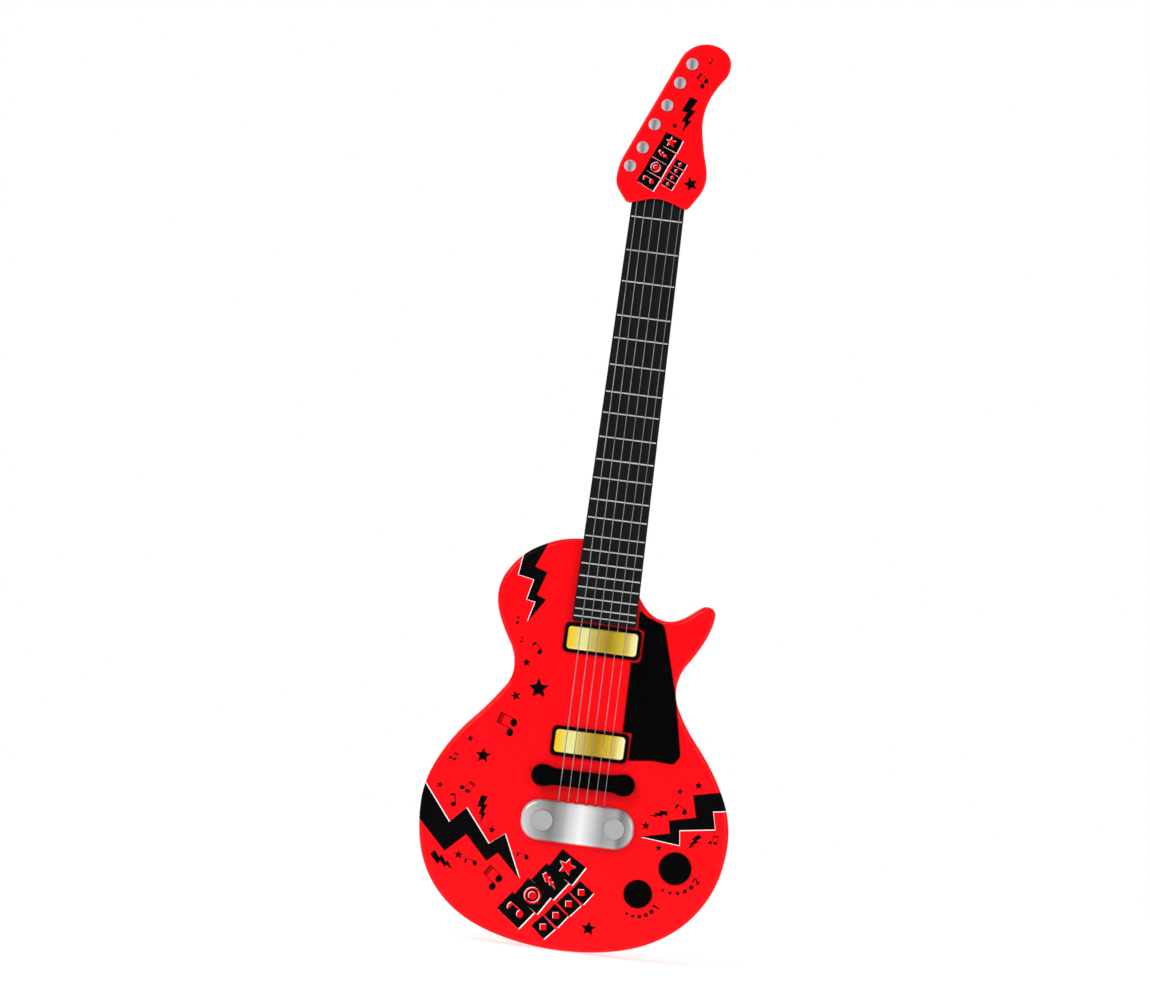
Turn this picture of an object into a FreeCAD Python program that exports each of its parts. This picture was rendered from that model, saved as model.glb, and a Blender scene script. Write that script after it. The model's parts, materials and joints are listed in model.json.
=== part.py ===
import FreeCAD, Part
import math
import os
import Sketcher
from FreeCAD import Placement, Rotation, Vector

# A toy electric guitar, in millimetres. It stands upright: X to the viewer's right, Z up along the
# neck from the nut line, and the front faces -Y. A "height" is a distance towards the front (-Y)
# from the plane where the body's front and back shells meet.

SIZES = (
    ("face_height", 19.0),
    ("back_depth", 19.0),
    ("shell_wall", 2.4),
    ("edge_round", 3.2),
    ("boss_radius", 4.0),
    ("boss_root", 0.6),
    ("pilot_radius", 1.1),
    ("pilot_depth", 12.0),
    ("clear_radius", 1.7),
    ("head_pocket_radius", 3.6),
    ("head_pocket_depth", 12.0),
    ("heel_height", 17.0),
    ("tongue_depth", 11.0),
    ("tongue_half_width", 15.0),
    ("tongue_bottom", 286.0),
    ("neck_joint", 238.5),
    ("seam_bevel", 0.4),
    ("pickguard_thick", 1.5),
    ("frame_thick", 2.6),
    ("cover_height", 5.6),
    ("cover_round", 1.4),
    ("bridge_height", 10.4),
    ("bridge_end_height", 8.0),
    ("tail_height", 9.0),
    ("tail_wall", 2.0),
    ("tail_round", 2.8),
    ("stud_radius", 7.1),
    ("stud_thick", 1.2),
    ("board_thick", 6.5),
    ("board_round", 0.8),
    ("board_half_top", 18.4),
    ("board_half_end", 22.5),
    ("board_end", 296.0),
    ("board_top", 9.0),
    ("fret_radius", 0.8),
    ("fret_width", 0.9),
    ("neck_back_height", 4.5),
    ("neck_channel_depth", 8.0),
    ("neck_channel_half", 10.5),
    ("head_front_height", 31.0),
    ("head_split_height", 21.0),
    ("head_back_height", 12.0),
    ("head_wall", 2.0),
    ("head_round", 1.5),
    ("cap_radius", 4.1),
    ("cap_thick", 2.6),
    ("cap_pin_radius", 1.5),
    ("cap_hole_radius", 1.55),
    ("ball_radius", 1.6),
    ("ball_length", 2.2),
    ("button_proud", 3.0),
    ("button_one_radius", 9.6),
    ("button_two_radius", 11.1),
    ("button_gap", 0.35),
    ("button_flange", 1.5),
    ("button_flange_thick", 1.4),
    ("button_stem_radius", 2.6),
    ("spring_radius", 5.6),
    ("spring_wire_radius", 0.35),
    ("circuit_front", 8.0),
    ("circuit_thick", 1.6),
    ("switch_side", 6.0),
    ("switch_height", 3.4),
    ("plunger_radius", 1.6),
    ("plunger_bore", 1.68),
    ("speaker_radius", 28.5),
    ("magnet_radius", 16.0),
    ("magnet_thick", 7.0),
    ("cell_radius", 7.1),
    ("cell_length", 49.5),
    ("box_wall", 2.4),
    ("door_length", 66.0),
    ("door_width", 48.0),
    ("door_gap", 0.3),
    ("door_thick", 2.2),
    ("screw_head_radius", 2.9),
    ("screw_head_height", 2.0),
    ("screw_shank_radius", 1.1),
    ("screw_cross_length", 3.4),
    ("screw_cross_width", 0.7),
    ("screw_cross_depth", 1.0),
    ("wire_radius", 0.7),
)

# Closed outlines, clockwise seen from the front: x, z and the heading of the edge in degrees.
BODY_NODES = (
    (-14.0, -238.6, 0),
    (14.5, -238.6, 0),
    (20.5, -244.6, -90),
    (20.5, -266.0, -90),
    (30.4, -284.0, -42),
    (44.0, -289.0, 0),
    (57.0, -284.2, 36),
    (66.5, -276.8, 36),
    (76.5, -280.5, -92),
    (71.2, -300.0, -115),
    (56.0, -334.5, -90),
    (66.3, -360.0, -56),
    (84.9, -384.0, -54),
    (105.5, -438.0, -90),
    (95.4, -480.0, -119),
    (75.1, -504.0, -142),
    (43.5, -520.0, -164),
    (-2.0, -526.0, -180),
    (-47.9, -520.0, -195),
    (-81.6, -504.0, -218),
    (-101.6, -480.0, -243),
    (-110.8, -436.0, -270),
    (-91.4, -384.0, -306),
    (-71.5, -360.0, -307),
    (-58.3, -334.0, -270),
    (-72.2, -300.0, -246),
    (-75.8, -284.0, -270),
    (-62.5, -256.0, -316),
    (-43.7, -244.0, -336),
)
HEAD_NODES = (
    (-17.5, -1.9, 197),
    (-23.4, -0.7, 131),
    (-31.3, 14.0, 90),
    (-28.4, 29.0, 66.9),
    (2.3, 101.0, 66.9),
    (21.5, 113.6, 0),
    (37.9, 99.5, -92),
    (29.6, 83.0, -119),
    (23.4, 60.0, -90),
    (26.3, 41.0, -77),
    (30.9, 20.0, -90),
    (21.9, -0.4, -123),
    (17.0, -2.3, -200),
    (-1.0, 2.2, -180),
)
# Corners given as x, z and corner radius.
PICKGUARD_CORNERS = (
    (24.2, -283.5, 0.6),
    (29.5, -287.2, 8.0),
    (42.0, -291.6, 4.0),
    (56.0, -339.0, 60.0),
    (64.8, -381.0, 6.0),
    (60.8, -387.0, 3.0),
    (45.0, -386.3, 30.0),
    (29.2, -388.3, 0.6),
    (29.2, -369.2, 0.6),
    (22.6, -369.0, 0.6),
    (22.2, -320.0, 0.6),
    (28.9, -320.0, 3.0),
    (28.9, -296.5, 3.0),
    (24.2, -296.5, 0.6),
)
BRIDGE_END_RADIUS = 7.7
BRIDGE_BAR = (-29.0, 28.3, -411.6, -399.8)
TAIL_BOX = (-40.0, 39.0, -451.0, -422.5)
TAIL_CORNER = 13.0
TAIL_STUDS = ((-25.0, -436.9), (25.3, -436.9))
NECK_PICKUP = (-26.5, 27.5, -318.5, -297.5)
BRIDGE_PICKUP = (-26.0, 27.8, -391.0, -370.0)
PICKUP_BORDER = 2.4
PICKUP_CORNER = 3.4

FIRST_FRET = -11.5
FRET_GAPS = (
    23.5, 22.0, 24.0, 15.8, 18.8, 19.0, 14.8, 17.0, 15.8, 13.0,
    15.0, 12.8, 13.0, 9.8, 9.5, 8.8, 7.8, 7.8, 7.5, 5.2,
)

STRING_X_TAIL = (-15.6, -8.9, -2.7, 3.7, 10.2, 16.1)
STRING_X_NUT = (-14.9, -9.2, -3.1, 3.3, 9.8, 15.7)
STRING_RADII = (0.34, 0.31, 0.29, 0.27, 0.25, 0.23)
STRING_TAIL_HEIGHT = 23.6
STRING_NUT_HEIGHT = 27.3
STRING_TAIL_Z = -436.8
STRING_BEND_Z = -427.0
BRIDGE_Z = -405.7
STRING_CREST_Z = -408.2
NUT_BOTTOM_Z = 3.5
NUT_TOP_Z = 8.5
STRING_NUT_Z = 9.2
STRING_PLAY = 0.15
ANCHOR_SPAN = (-19.5, 20.0, -435.6, -430.6)
ANCHOR_THICK = 6.3
NUT_HALF = 17.6
NUT_THICK = 3.0

TUNER_CAPS = (
    (-23.0, 22.8),
    (-15.9, 36.6),
    (-9.8, 53.6),
    (-2.7, 67.8),
    (4.1, 84.4),
    (10.9, 98.5),
)
BODY_SCREWS = (
    (-58.0, -270.0),
    (64.5, -290.5),
    (-48.5, -338.0),
    (46.0, -338.0),
    (-99.0, -430.0),
    (94.0, -430.0),
    (-66.0, -501.0),
    (62.0, -502.0),
    (-1.0, -514.0),
)
HEAD_SCREWS = ((-20.0, 30.0), (20.5, 30.0), (7.0, 70.0), (26.0, 96.0))
TAB_SCREW = (0.0, 24.5)
TAB_THICK = 2.0
NECK_SCREWS = ((-9.0, -250.0), (9.0, -250.0), (-9.0, -276.0), (9.0, -276.0))
BOARD_SCREWS = ((26.0, -451.0), (52.0, -451.0), (26.0, -485.0), (79.0, -484.0))
BUTTONS = (
    ("mode_1", 47.6, -479.7, "sizes.button_one_radius"),
    ("mode_2", 71.1, -458.9, "sizes.button_two_radius"),
)
SPEAKER = (-48.0, -428.0)
SPEAKER_SCREWS = ((-69.5, -406.5), (-26.5, -406.5), (-69.5, -449.5), (-26.5, -449.5))
SPEAKER_RIM = 14.1
GRILLE_RADIUS = 22.0
GRILLE_PITCH = 4.6
GRILLE_SLOT = 2.2
NECK_SIDE = 2.0
BOX_CENTRE = (38.0, -402.0)
CELL_PITCH = 14.9
SPRING_TURNS = 4
CONTACT_COIL_RADIUS = 3.2
CONTACT_COIL_TURNS = 2
CONTACT_WIRE_RADIUS = 0.3
CONTACT_THICK = 0.4
CONTACT_SIDE = 12.0
CONTACT_TALL = 9.0
CELL_AXIS = 7.3
CELL_KNOB_RADIUS = 2.6
CELL_KNOB_LENGTH = 1.4
TRAY_DEPTH = 17.2
TRAY_RIM = 1.9
TRAY_INSET = 0.5
DOOR_TAB_OFFSETS = (-15.0, 15.0)
DOOR_TAB_HALF = 5.0
BOARD_CORNERS = (
    (22.0, -490.0, 1.5),
    (22.0, -446.0, 1.5),
    (84.0, -446.0, 1.5),
    (84.0, -483.0, 3.0),
    (76.0, -490.0, 3.0),
)
CHIP_CENTRE = (40.0, -467.0)
CHIP_DOME_RADIUS = 12.0
CHIP_DOME_SUNK = 10.2
SMALL_PARTS = (
    (56.0, -472.0, 4.0, 2.0),
    (56.0, -478.0, 4.0, 2.0),
    (64.0, -470.0, 3.2, 1.6),
    (70.0, -474.0, 3.2, 1.6),
)
SMALL_PART_THICK = 1.2
CAN_CENTRE = (64.0, -482.0)
CAN_RADIUS = 2.5
CAN_LENGTH = 4.6
DOOR_SCREW_EDGE = 4.6
DOOR_SCREW_RECESS = 2.1
DOOR_STRIP = 9.0
SWITCH_CENTRE = (-14.0, -364.0)
WIRE_SPACING = 4.0

doc = FreeCAD.newDocument("toy_guitar")
sheet = doc.addObject("Spreadsheet::Sheet", "sizes")
for row, (alias, value) in enumerate(SIZES, start=1):
    sheet.set(f"A{row}", alias.replace("_", " "))
    sheet.set(f"B{row}", str(value))
    sheet.setAlias(f"B{row}", alias)
doc.recompute()

SHEET_VALUES = {alias: float(sheet.get(alias)) for alias, _ in SIZES}
NODES = []


def size(alias):
    return SHEET_VALUES[alias]


def keep(obj, label):
    obj.Label = label
    NODES.append((label, obj))
    return obj


def bind(obj, prop, value):
    if isinstance(value, str):
        obj.setExpression(prop, value)
    else:
        setattr(obj, prop, value)


# ---- flat outlines ---------------------------------------------------------------------------


def heading(angle):
    return Vector(math.cos(math.radians(angle)), math.sin(math.radians(angle)), 0)


def left_of(direction):
    return Vector(-direction.y, direction.x, 0)


def arc_from(start, direction, end):
    """An arc or line from start, setting off along direction, to end: start, middle, end, centre."""
    chord = end - start
    along = Vector(chord).normalize()
    side = left_of(along)
    turn = math.atan2(along.x * direction.y - along.y * direction.x, along.dot(direction))
    if abs(turn) < 1e-4:
        return start, None, end, None
    middle = (start + end) * 0.5 + side * (chord.Length / 2 * math.tan(turn / 2))
    radius = chord.Length / 2 / math.sin(turn)
    centre = (start + end) * 0.5 - side * (radius * math.cos(turn))
    return start, middle, end, centre


def smooth_outline(nodes):
    """Two arcs between each pair of nodes, tangent to every heading."""
    path = []
    for here, there in zip(nodes, nodes[1:] + nodes[:1]):
        start = Vector(here[0], here[1], 0)
        end = Vector(there[0], there[1], 0)
        set_off = heading(here[2])
        arrive = heading(there[2])
        span = end - start
        both = set_off + arrive
        spread = 2 * (1 - set_off.dot(arrive))
        if spread < 1e-9:
            reach = span.dot(span) / (4 * span.dot(set_off))
        else:
            root = math.sqrt(span.dot(both) ** 2 + spread * span.dot(span))
            reach = (root - span.dot(both)) / spread
        meeting = (start + set_off * reach + end - arrive * reach) * 0.5
        first = arc_from(start, set_off, meeting)
        back = arc_from(end, arrive * -1, meeting)
        second = (meeting, back[1], end, back[3])
        if first[3] is None and second[3] is None:
            path.append((start, None, end, None))
        else:
            path.extend((first, second))
    return path


def inset(path, distance):
    """The clockwise path moved inwards by distance."""
    moved = []
    for start, middle, end, centre in path:
        if centre is None:
            step = left_of(Vector(end - start).normalize()) * -distance
            moved.append((start + step, None, end + step, None))
            continue
        radius = (start - centre).Length
        chord = end - start
        bulge = middle - start
        clockwise = chord.x * bulge.y - chord.y * bulge.x > 0
        scale = (radius - distance) / radius if clockwise else (radius + distance) / radius
        points = [centre + (p - centre) * scale for p in (start, middle, end)]
        moved.append((*points, centre))
    return moved


def rounded_corners(corners):
    """Straight sides between corners, each corner rounded by its own radius."""
    count = len(corners)
    ends = []
    for index, (x, z, radius) in enumerate(corners):
        corner = Vector(x, z, 0)
        before = Vector(*corners[index - 1][:2], 0) - corner
        after = Vector(*corners[(index + 1) % count][:2], 0) - corner
        before.normalize()
        after.normalize()
        half = math.acos(max(-1.0, min(1.0, before.dot(after)))) / 2
        run = radius / math.tan(half)
        middle_way = Vector(before + after).normalize()
        middle = corner + middle_way * (radius / math.sin(half) - radius)
        ends.append((corner + before * run, middle, corner + after * run))
    path = []
    for index, (arc_start, middle, arc_end) in enumerate(ends):
        path.append((arc_start, middle, arc_end, corner))
        next_start = ends[(index + 1) % count][0]
        if (next_start - arc_end).Length > 1e-6:
            path.append((arc_end, None, next_start, None))
    return path


def polygon(points):
    flat = [Vector(x, z, 0) for x, z in points]
    return [(a, None, b, None) for a, b in zip(flat, flat[1:] + flat[:1])]


def rectangle(left, right, low, high):
    return polygon(((left, low), (right, low), (right, high), (left, high)))


def rounded_rectangle(left, right, low, high, radius):
    corners = ((left, low), (left, high), (right, high), (right, low))
    return rounded_corners([(x, z, radius) for x, z in corners])


BODY_OUTLINE = smooth_outline(BODY_NODES)
HEAD_OUTLINE = smooth_outline(HEAD_NODES)

# ---- PartDesign helpers ------------------------------------------------------------------------


def new_body(label):
    return keep(doc.addObject("PartDesign::Body", label), label)


def new_sketch(body, name, height, plane="XZ_Plane"):
    """A sketch on a plane facing the front, at a height given as a number or an expression."""
    sketch = body.newObject("Sketcher::SketchObject", f"{body.Label}_{name}")
    support = next(f for f in body.Origin.OriginFeatures if f.Role == plane)
    sketch.AttachmentSupport = [(support, "")]
    sketch.MapMode = "FlatFace"
    bind_offset(sketch, height)
    return sketch


def bind_offset(sketch, height):
    if isinstance(height, str):
        sketch.setExpression("AttachmentOffset.Base.z", height)
    else:
        sketch.AttachmentOffset = Placement(Vector(0, 0, height), Rotation())


def draw(sketch, path):
    for start, middle, end, _ in path:
        if middle is None:
            sketch.addGeometry(Part.LineSegment(start, end), False)
        else:
            sketch.addGeometry(Part.Arc(start, middle, end), False)


def draw_circles(sketch, centres, radius):
    for x, z in centres:
        index = sketch.addGeometry(Part.Circle(Vector(x, z, 0), Vector(0, 0, 1), 1.0), False)
        number = sketch.addConstraint(Sketcher.Constraint("Radius", index, 1.0))
        sketch.setExpression(f"Constraints[{number}]", radius)


def finish(feature, name):
    doc.recompute()
    if feature.Shape.isNull() or "Invalid" in feature.State or "Error" in feature.State:
        raise RuntimeError(f"{name} failed: {feature.State} {feature.getStatusString()}")
    return feature


def pad(body, sketch, length, backwards=False):
    feature = body.newObject("PartDesign::Pad", f"{sketch.Name}_pad")
    feature.Profile = sketch
    bind(feature, "Length", length)
    feature.Reversed = backwards
    return finish(feature, feature.Name)


def pocket(body, sketch, length, forwards=False):
    """Cuts from the sketch towards the back, or towards the front."""
    before = body.Shape.Volume
    feature = body.newObject("PartDesign::Pocket", f"{sketch.Name}_pocket")
    feature.Profile = sketch
    bind(feature, "Length", length)
    feature.Reversed = forwards
    finish(feature, feature.Name)
    if before - body.Shape.Volume < 1e-3:
        raise RuntimeError(f"{feature.Name} cuts nothing")
    return feature


def edges_at(shape, height, region=None):
    """Names of the edges that lie wholly at one height, within a region if one is given."""
    found = []
    for number, edge in enumerate(shape.Edges, start=1):
        box = edge.BoundBox
        if abs(box.YMin + height) > 1e-3 or abs(box.YMax + height) > 1e-3:
            continue
        if region is not None and not region(edge.CenterOfMass):
            continue
        found.append(f"Edge{number}")
    return found


def round_edges(body, edges, radius, kind="Fillet"):
    base = body.Tip
    feature = body.newObject(f"PartDesign::{kind}", f"{body.Label}_{kind.lower()}")
    feature.Base = (base, edges)
    bind(feature, "Radius" if kind == "Fillet" else "Size", radius)
    return finish(feature, feature.Name)


# ---- Part helpers --------------------------------------------------------------------------------

TO_FRONT = Rotation(Vector(1, 0, 0), 90)
TO_BACK = Rotation(Vector(1, 0, 0), -90)
ALONG_X = Rotation(Vector(0, 1, 0), 90)


def cylinder(name, x, z, height, length, radius, backwards=False):
    """A cylinder along Y from a height, running towards the front unless backwards."""
    made = doc.addObject("Part::Cylinder", name)
    made.Placement = Placement(Vector(x, -height, z), TO_BACK if backwards else TO_FRONT)
    bind(made, "Radius", radius)
    bind(made, "Height", length)
    return made


def cone(name, x, z, height, length, radius_start, radius_end):
    made = doc.addObject("Part::Cone", name)
    made.Placement = Placement(Vector(x, -height, z), TO_FRONT)
    bind(made, "Radius1", radius_start)
    bind(made, "Radius2", radius_end)
    bind(made, "Height", length)
    return made


def box(name, left, low, height, across, up, thick):
    """A box whose back face is at height; it is across wide, up tall and thick deep."""
    made = doc.addObject("Part::Box", name)
    bind(made, "Length", across)
    bind(made, "Width", thick)
    bind(made, "Height", up)
    depth = size(thick[6:]) if isinstance(thick, str) else thick
    made.Placement = Placement(Vector(left, -height - depth, low), Rotation())
    return made


def cut(name, base, tool):
    made = doc.addObject("Part::Cut", name)
    made.Base = base
    made.Tool = tool
    return made


def common(name, base, tool):
    made = doc.addObject("Part::Common", name)
    made.Base = base
    made.Tool = tool
    return made


def fuse(name, pieces):
    made = doc.addObject("Part::MultiFuse", name)
    made.Shapes = pieces
    return made


def group(name, pieces):
    made = doc.addObject("Part::Compound", name)
    made.Links = pieces
    return made


def swept_ring(name, line, radius, start, turn, **settings):
    """A solid made by carrying a circle along a line from its start."""
    ring = doc.addObject("Part::Circle", f"{name}_ring")
    bind(ring, "Radius", radius)
    ring.Placement = Placement(start, turn)
    made = doc.addObject("Part::Sweep", name)
    made.Sections = [ring]
    made.Spine = (line, [])
    made.Solid = True
    for prop, value in settings.items():
        setattr(made, prop, value)
    return made


def spring(name, start, turn, ring_turn, radius, wire, height, turns):
    """A coil round the axis that the turn gives, from its start; one helix segment per turn."""
    helix = doc.addObject("Part::Helix", f"{name}_line")
    bind(helix, "Radius", radius)
    helix.Height = height
    helix.Pitch = height / turns
    helix.SegmentLength = 1
    helix.Placement = Placement(start, turn)
    reach = size(radius[6:]) if isinstance(radius, str) else radius
    edge = start + turn.multVec(Vector(reach, 0, 0))
    return swept_ring(name, helix, wire, edge, ring_turn, Frenet=True)


def moved_copies(label, pattern, places, turned=False):
    """One node made of copies of a pattern, shifted to each place and turned end for end if asked."""
    node = doc.addObject("Part::Feature", label)
    shape = pattern.Shape.copy()
    if turned:
        shape.rotate(Vector(0, 0, 0), Vector(0, 0, 1), 180)
    node.Shape = Part.makeCompound([shape.translated(Vector(*place)) for place in places])
    return keep(node, label)


def screw_pattern(name, shank):
    """A pan head screw along Y with a cross recess; the head's underside is at y = 0."""
    head = cylinder(f"{name}_head", 0, 0, 0, "sizes.screw_head_height", "sizes.screw_head_radius", True)
    stem = cylinder(f"{name}_stem", 0, 0, 0, shank, "sizes.screw_shank_radius")
    tip = cone(f"{name}_tip", 0, 0, shank, 1.2, "sizes.screw_shank_radius", 0.3)
    solid = fuse(f"{name}_solid", [head, stem, tip])
    half = size("screw_cross_length") / 2
    thin = size("screw_cross_width") / 2
    floor = size("screw_cross_depth") - size("screw_head_height")
    first = box(f"{name}_slot_a", -half, -thin, floor, "sizes.screw_cross_length",
                "sizes.screw_cross_width", "sizes.screw_cross_depth")
    second = box(f"{name}_slot_b", -thin, -half, floor, "sizes.screw_cross_width",
                 "sizes.screw_cross_length", "sizes.screw_cross_depth")
    for slot in (first, second):
        slot.Placement.Base.y = -floor
    both = fuse(f"{name}_cross", [first, second])
    made = cut(name, solid, both)
    doc.recompute()
    return made


# ---- body shells ---------------------------------------------------------------------------------


def front_shell():
    body = new_body("body_front_shell")
    outline = new_sketch(body, "outline", 0.0)
    draw(outline, BODY_OUTLINE)
    block = pad(body, outline, "sizes.face_height")
    round_edges(body, edges_at(block.Shape, size("face_height")), "sizes.edge_round")
    round_edges(body, edges_at(body.Shape, 0.0), "sizes.seam_bevel", "Chamfer")
    hollow = new_sketch(body, "hollow", 0.0)
    draw(hollow, inset(BODY_OUTLINE, size("shell_wall")))
    pocket(body, hollow, "sizes.face_height - sizes.shell_wall", forwards=True)
    heel = new_sketch(body, "heel", 0.0)
    draw(heel, rectangle(-19.0, 18.4, -296.0, -241.2))
    pad(body, heel, "sizes.heel_height")
    bosses = new_sketch(body, "bosses", 0.0)
    draw_circles(bosses, BODY_SCREWS, "sizes.boss_radius")
    pad(body, bosses, "sizes.face_height - sizes.shell_wall + sizes.boss_root")
    stands = new_sketch(body, "board_stands", "sizes.circuit_front")
    draw_circles(stands, BOARD_SCREWS, "sizes.boss_radius - 1")
    pad(body, stands, "sizes.face_height - sizes.shell_wall - sizes.circuit_front + sizes.boss_root")
    pilots = new_sketch(body, "pilots", 0.0)
    draw_circles(pilots, BODY_SCREWS, "sizes.pilot_radius")
    pocket(body, pilots, "sizes.pilot_depth", forwards=True)
    small = new_sketch(body, "board_pilots", "sizes.circuit_front")
    draw_circles(small, BOARD_SCREWS, "sizes.pilot_radius")
    pocket(body, small, "sizes.pilot_depth - 5", forwards=True)
    tongue = new_sketch(body, "tongue_slot", "sizes.face_height")
    half = size("tongue_half_width") + 0.1
    draw(tongue, rectangle(-half, half, -size("tongue_bottom") - 0.3, -230.0))
    pocket(body, tongue, "sizes.tongue_depth + 0.1")
    neck_holes = new_sketch(body, "neck_holes", 0.0)
    draw_circles(neck_holes, NECK_SCREWS, "sizes.clear_radius - 0.3")
    pocket(body, neck_holes, "sizes.face_height", forwards=True)
    keys = new_sketch(body, "button_holes", "sizes.face_height")
    for _, x, z, radius in BUTTONS:
        draw_circles(keys, ((x, z),), f"{radius} + sizes.button_gap")
    pocket(body, keys, "sizes.shell_wall + 0.5")
    return body


def grille_slots():
    """Rounded slots across a disc, the chords of which shorten towards its top and bottom."""
    slots = []
    half = GRILLE_SLOT / 2
    for step in range(-4, 5):
        z = SPEAKER[1] + step * GRILLE_PITCH
        chord = math.sqrt(GRILLE_RADIUS**2 - (step * GRILLE_PITCH) ** 2)
        left, right = SPEAKER[0] - chord, SPEAKER[0] + chord
        slots.extend(rounded_rectangle(left, right, z - half, z + half, half - 0.01))
    return slots


def back_shell():
    body = new_body("body_back_shell")
    outline = new_sketch(body, "outline", 0.0)
    draw(outline, BODY_OUTLINE)
    block = pad(body, outline, "sizes.back_depth", backwards=True)
    round_edges(body, edges_at(block.Shape, -size("back_depth")), "sizes.edge_round")
    round_edges(body, edges_at(body.Shape, 0.0), "sizes.seam_bevel", "Chamfer")
    hollow = new_sketch(body, "hollow", 0.0)
    draw(hollow, inset(BODY_OUTLINE, size("shell_wall")))
    pocket(body, hollow, "sizes.back_depth - sizes.shell_wall")
    bosses = new_sketch(body, "bosses", 0.0)
    draw_circles(bosses, BODY_SCREWS, "sizes.boss_radius + 0.8")
    pad(body, bosses, "sizes.back_depth - sizes.shell_wall + sizes.boss_root", backwards=True)
    rim_pad = f"sizes.back_depth - sizes.shell_wall - {SPEAKER_RIM} + sizes.boss_root"
    ring = new_sketch(body, "speaker_ring", -SPEAKER_RIM)
    draw_circles(ring, (SPEAKER,), "sizes.speaker_radius + 2")
    draw_circles(ring, (SPEAKER,), "sizes.speaker_radius + 0.2")
    pad(body, ring, rim_pad, backwards=True)
    posts = new_sketch(body, "speaker_posts", -SPEAKER_RIM)
    draw_circles(posts, SPEAKER_SCREWS, "sizes.boss_radius - 0.6")
    pad(body, posts, rim_pad, backwards=True)
    seat = new_sketch(body, "speaker_seat", -SPEAKER_RIM)
    draw_circles(seat, (SPEAKER,), "sizes.speaker_radius + 0.2")
    pocket(body, seat, f"sizes.back_depth - sizes.shell_wall - {SPEAKER_RIM}")
    post_holes = new_sketch(body, "post_holes", -SPEAKER_RIM)
    draw_circles(post_holes, SPEAKER_SCREWS, "sizes.pilot_radius")
    pocket(body, post_holes, 4.2)
    holes = new_sketch(body, "screw_holes", 0.0)
    draw_circles(holes, BODY_SCREWS, "sizes.clear_radius")
    pocket(body, holes, "sizes.back_depth")
    heads = new_sketch(body, "screw_heads", "-sizes.back_depth")
    draw_circles(heads, BODY_SCREWS, "sizes.head_pocket_radius")
    pocket(body, heads, "sizes.head_pocket_depth", forwards=True)
    grille = new_sketch(body, "grille", "-sizes.back_depth")
    draw(grille, grille_slots())
    pocket(body, grille, "sizes.shell_wall + 0.2", forwards=True)
    door = new_sketch(body, "door_opening", "-sizes.back_depth")
    half_long = size("door_length") / 2 + size("door_gap")
    half_wide = size("door_width") / 2 + size("door_gap")
    x, z = BOX_CENTRE
    draw(door, rounded_rectangle(x - half_long, x + half_long, z - half_wide, z + half_wide, 2.0))
    pocket(body, door, "sizes.shell_wall + 0.2", forwards=True)
    slot = new_sketch(body, "switch_slot", "-sizes.back_depth")
    x, z = SWITCH_CENTRE
    draw(slot, rounded_rectangle(x - 5.0, x + 5.0, z - 2.3, z + 2.3, 0.6))
    pocket(body, slot, "sizes.shell_wall + 0.2", forwards=True)
    return body


# ---- plates and covers on the face --------------------------------------------------------------


def pickguard():
    body = new_body("pickguard")
    outline = new_sketch(body, "outline", "sizes.face_height")
    draw(outline, rounded_corners(PICKGUARD_CORNERS))
    plate = pad(body, outline, "sizes.pickguard_thick")
    top = size("face_height") + size("pickguard_thick")
    round_edges(body, edges_at(plate.Shape, top), "sizes.seam_bevel", "Chamfer")
    return body


def pickup(name, span):
    """A black frame on the face and the cover that stands in its window."""
    left, right, low, high = span
    frame = new_body(f"{name}_frame")
    outline = new_sketch(frame, "outline", "sizes.face_height")
    draw(outline, rounded_rectangle(left, right, low, high, PICKUP_CORNER))
    plate = pad(frame, outline, "sizes.frame_thick")
    top = size("face_height") + size("frame_thick")
    round_edges(frame, edges_at(plate.Shape, top), "sizes.seam_bevel", "Chamfer")
    border = PICKUP_BORDER
    inner = (left + border, right - border, low + border, high - border)
    window = new_sketch(frame, "window", top)
    draw(window, rounded_rectangle(*inner, PICKUP_CORNER - 0.8))
    pocket(frame, window, "sizes.frame_thick + 0.5")
    cover = new_body(f"{name}_cover")
    shape = new_sketch(cover, "outline", "sizes.face_height")
    fit = 0.05
    span = (inner[0] + fit, inner[1] - fit, inner[2] + fit, inner[3] - fit)
    draw(shape, rounded_rectangle(*span, PICKUP_CORNER - 0.85))
    block = pad(cover, shape, "sizes.cover_height")
    height = size("face_height") + size("cover_height")
    round_edges(cover, edges_at(block.Shape, height), "sizes.cover_round")
    hollow = new_sketch(cover, "hollow", "sizes.face_height")
    wall = 1.6
    span = (span[0] + wall, span[1] - wall, span[2] + wall, span[3] - wall)
    draw(hollow, rounded_rectangle(*span, 1.2))
    pocket(cover, hollow, "sizes.cover_height - 1.6", forwards=True)
    return frame, cover


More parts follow.
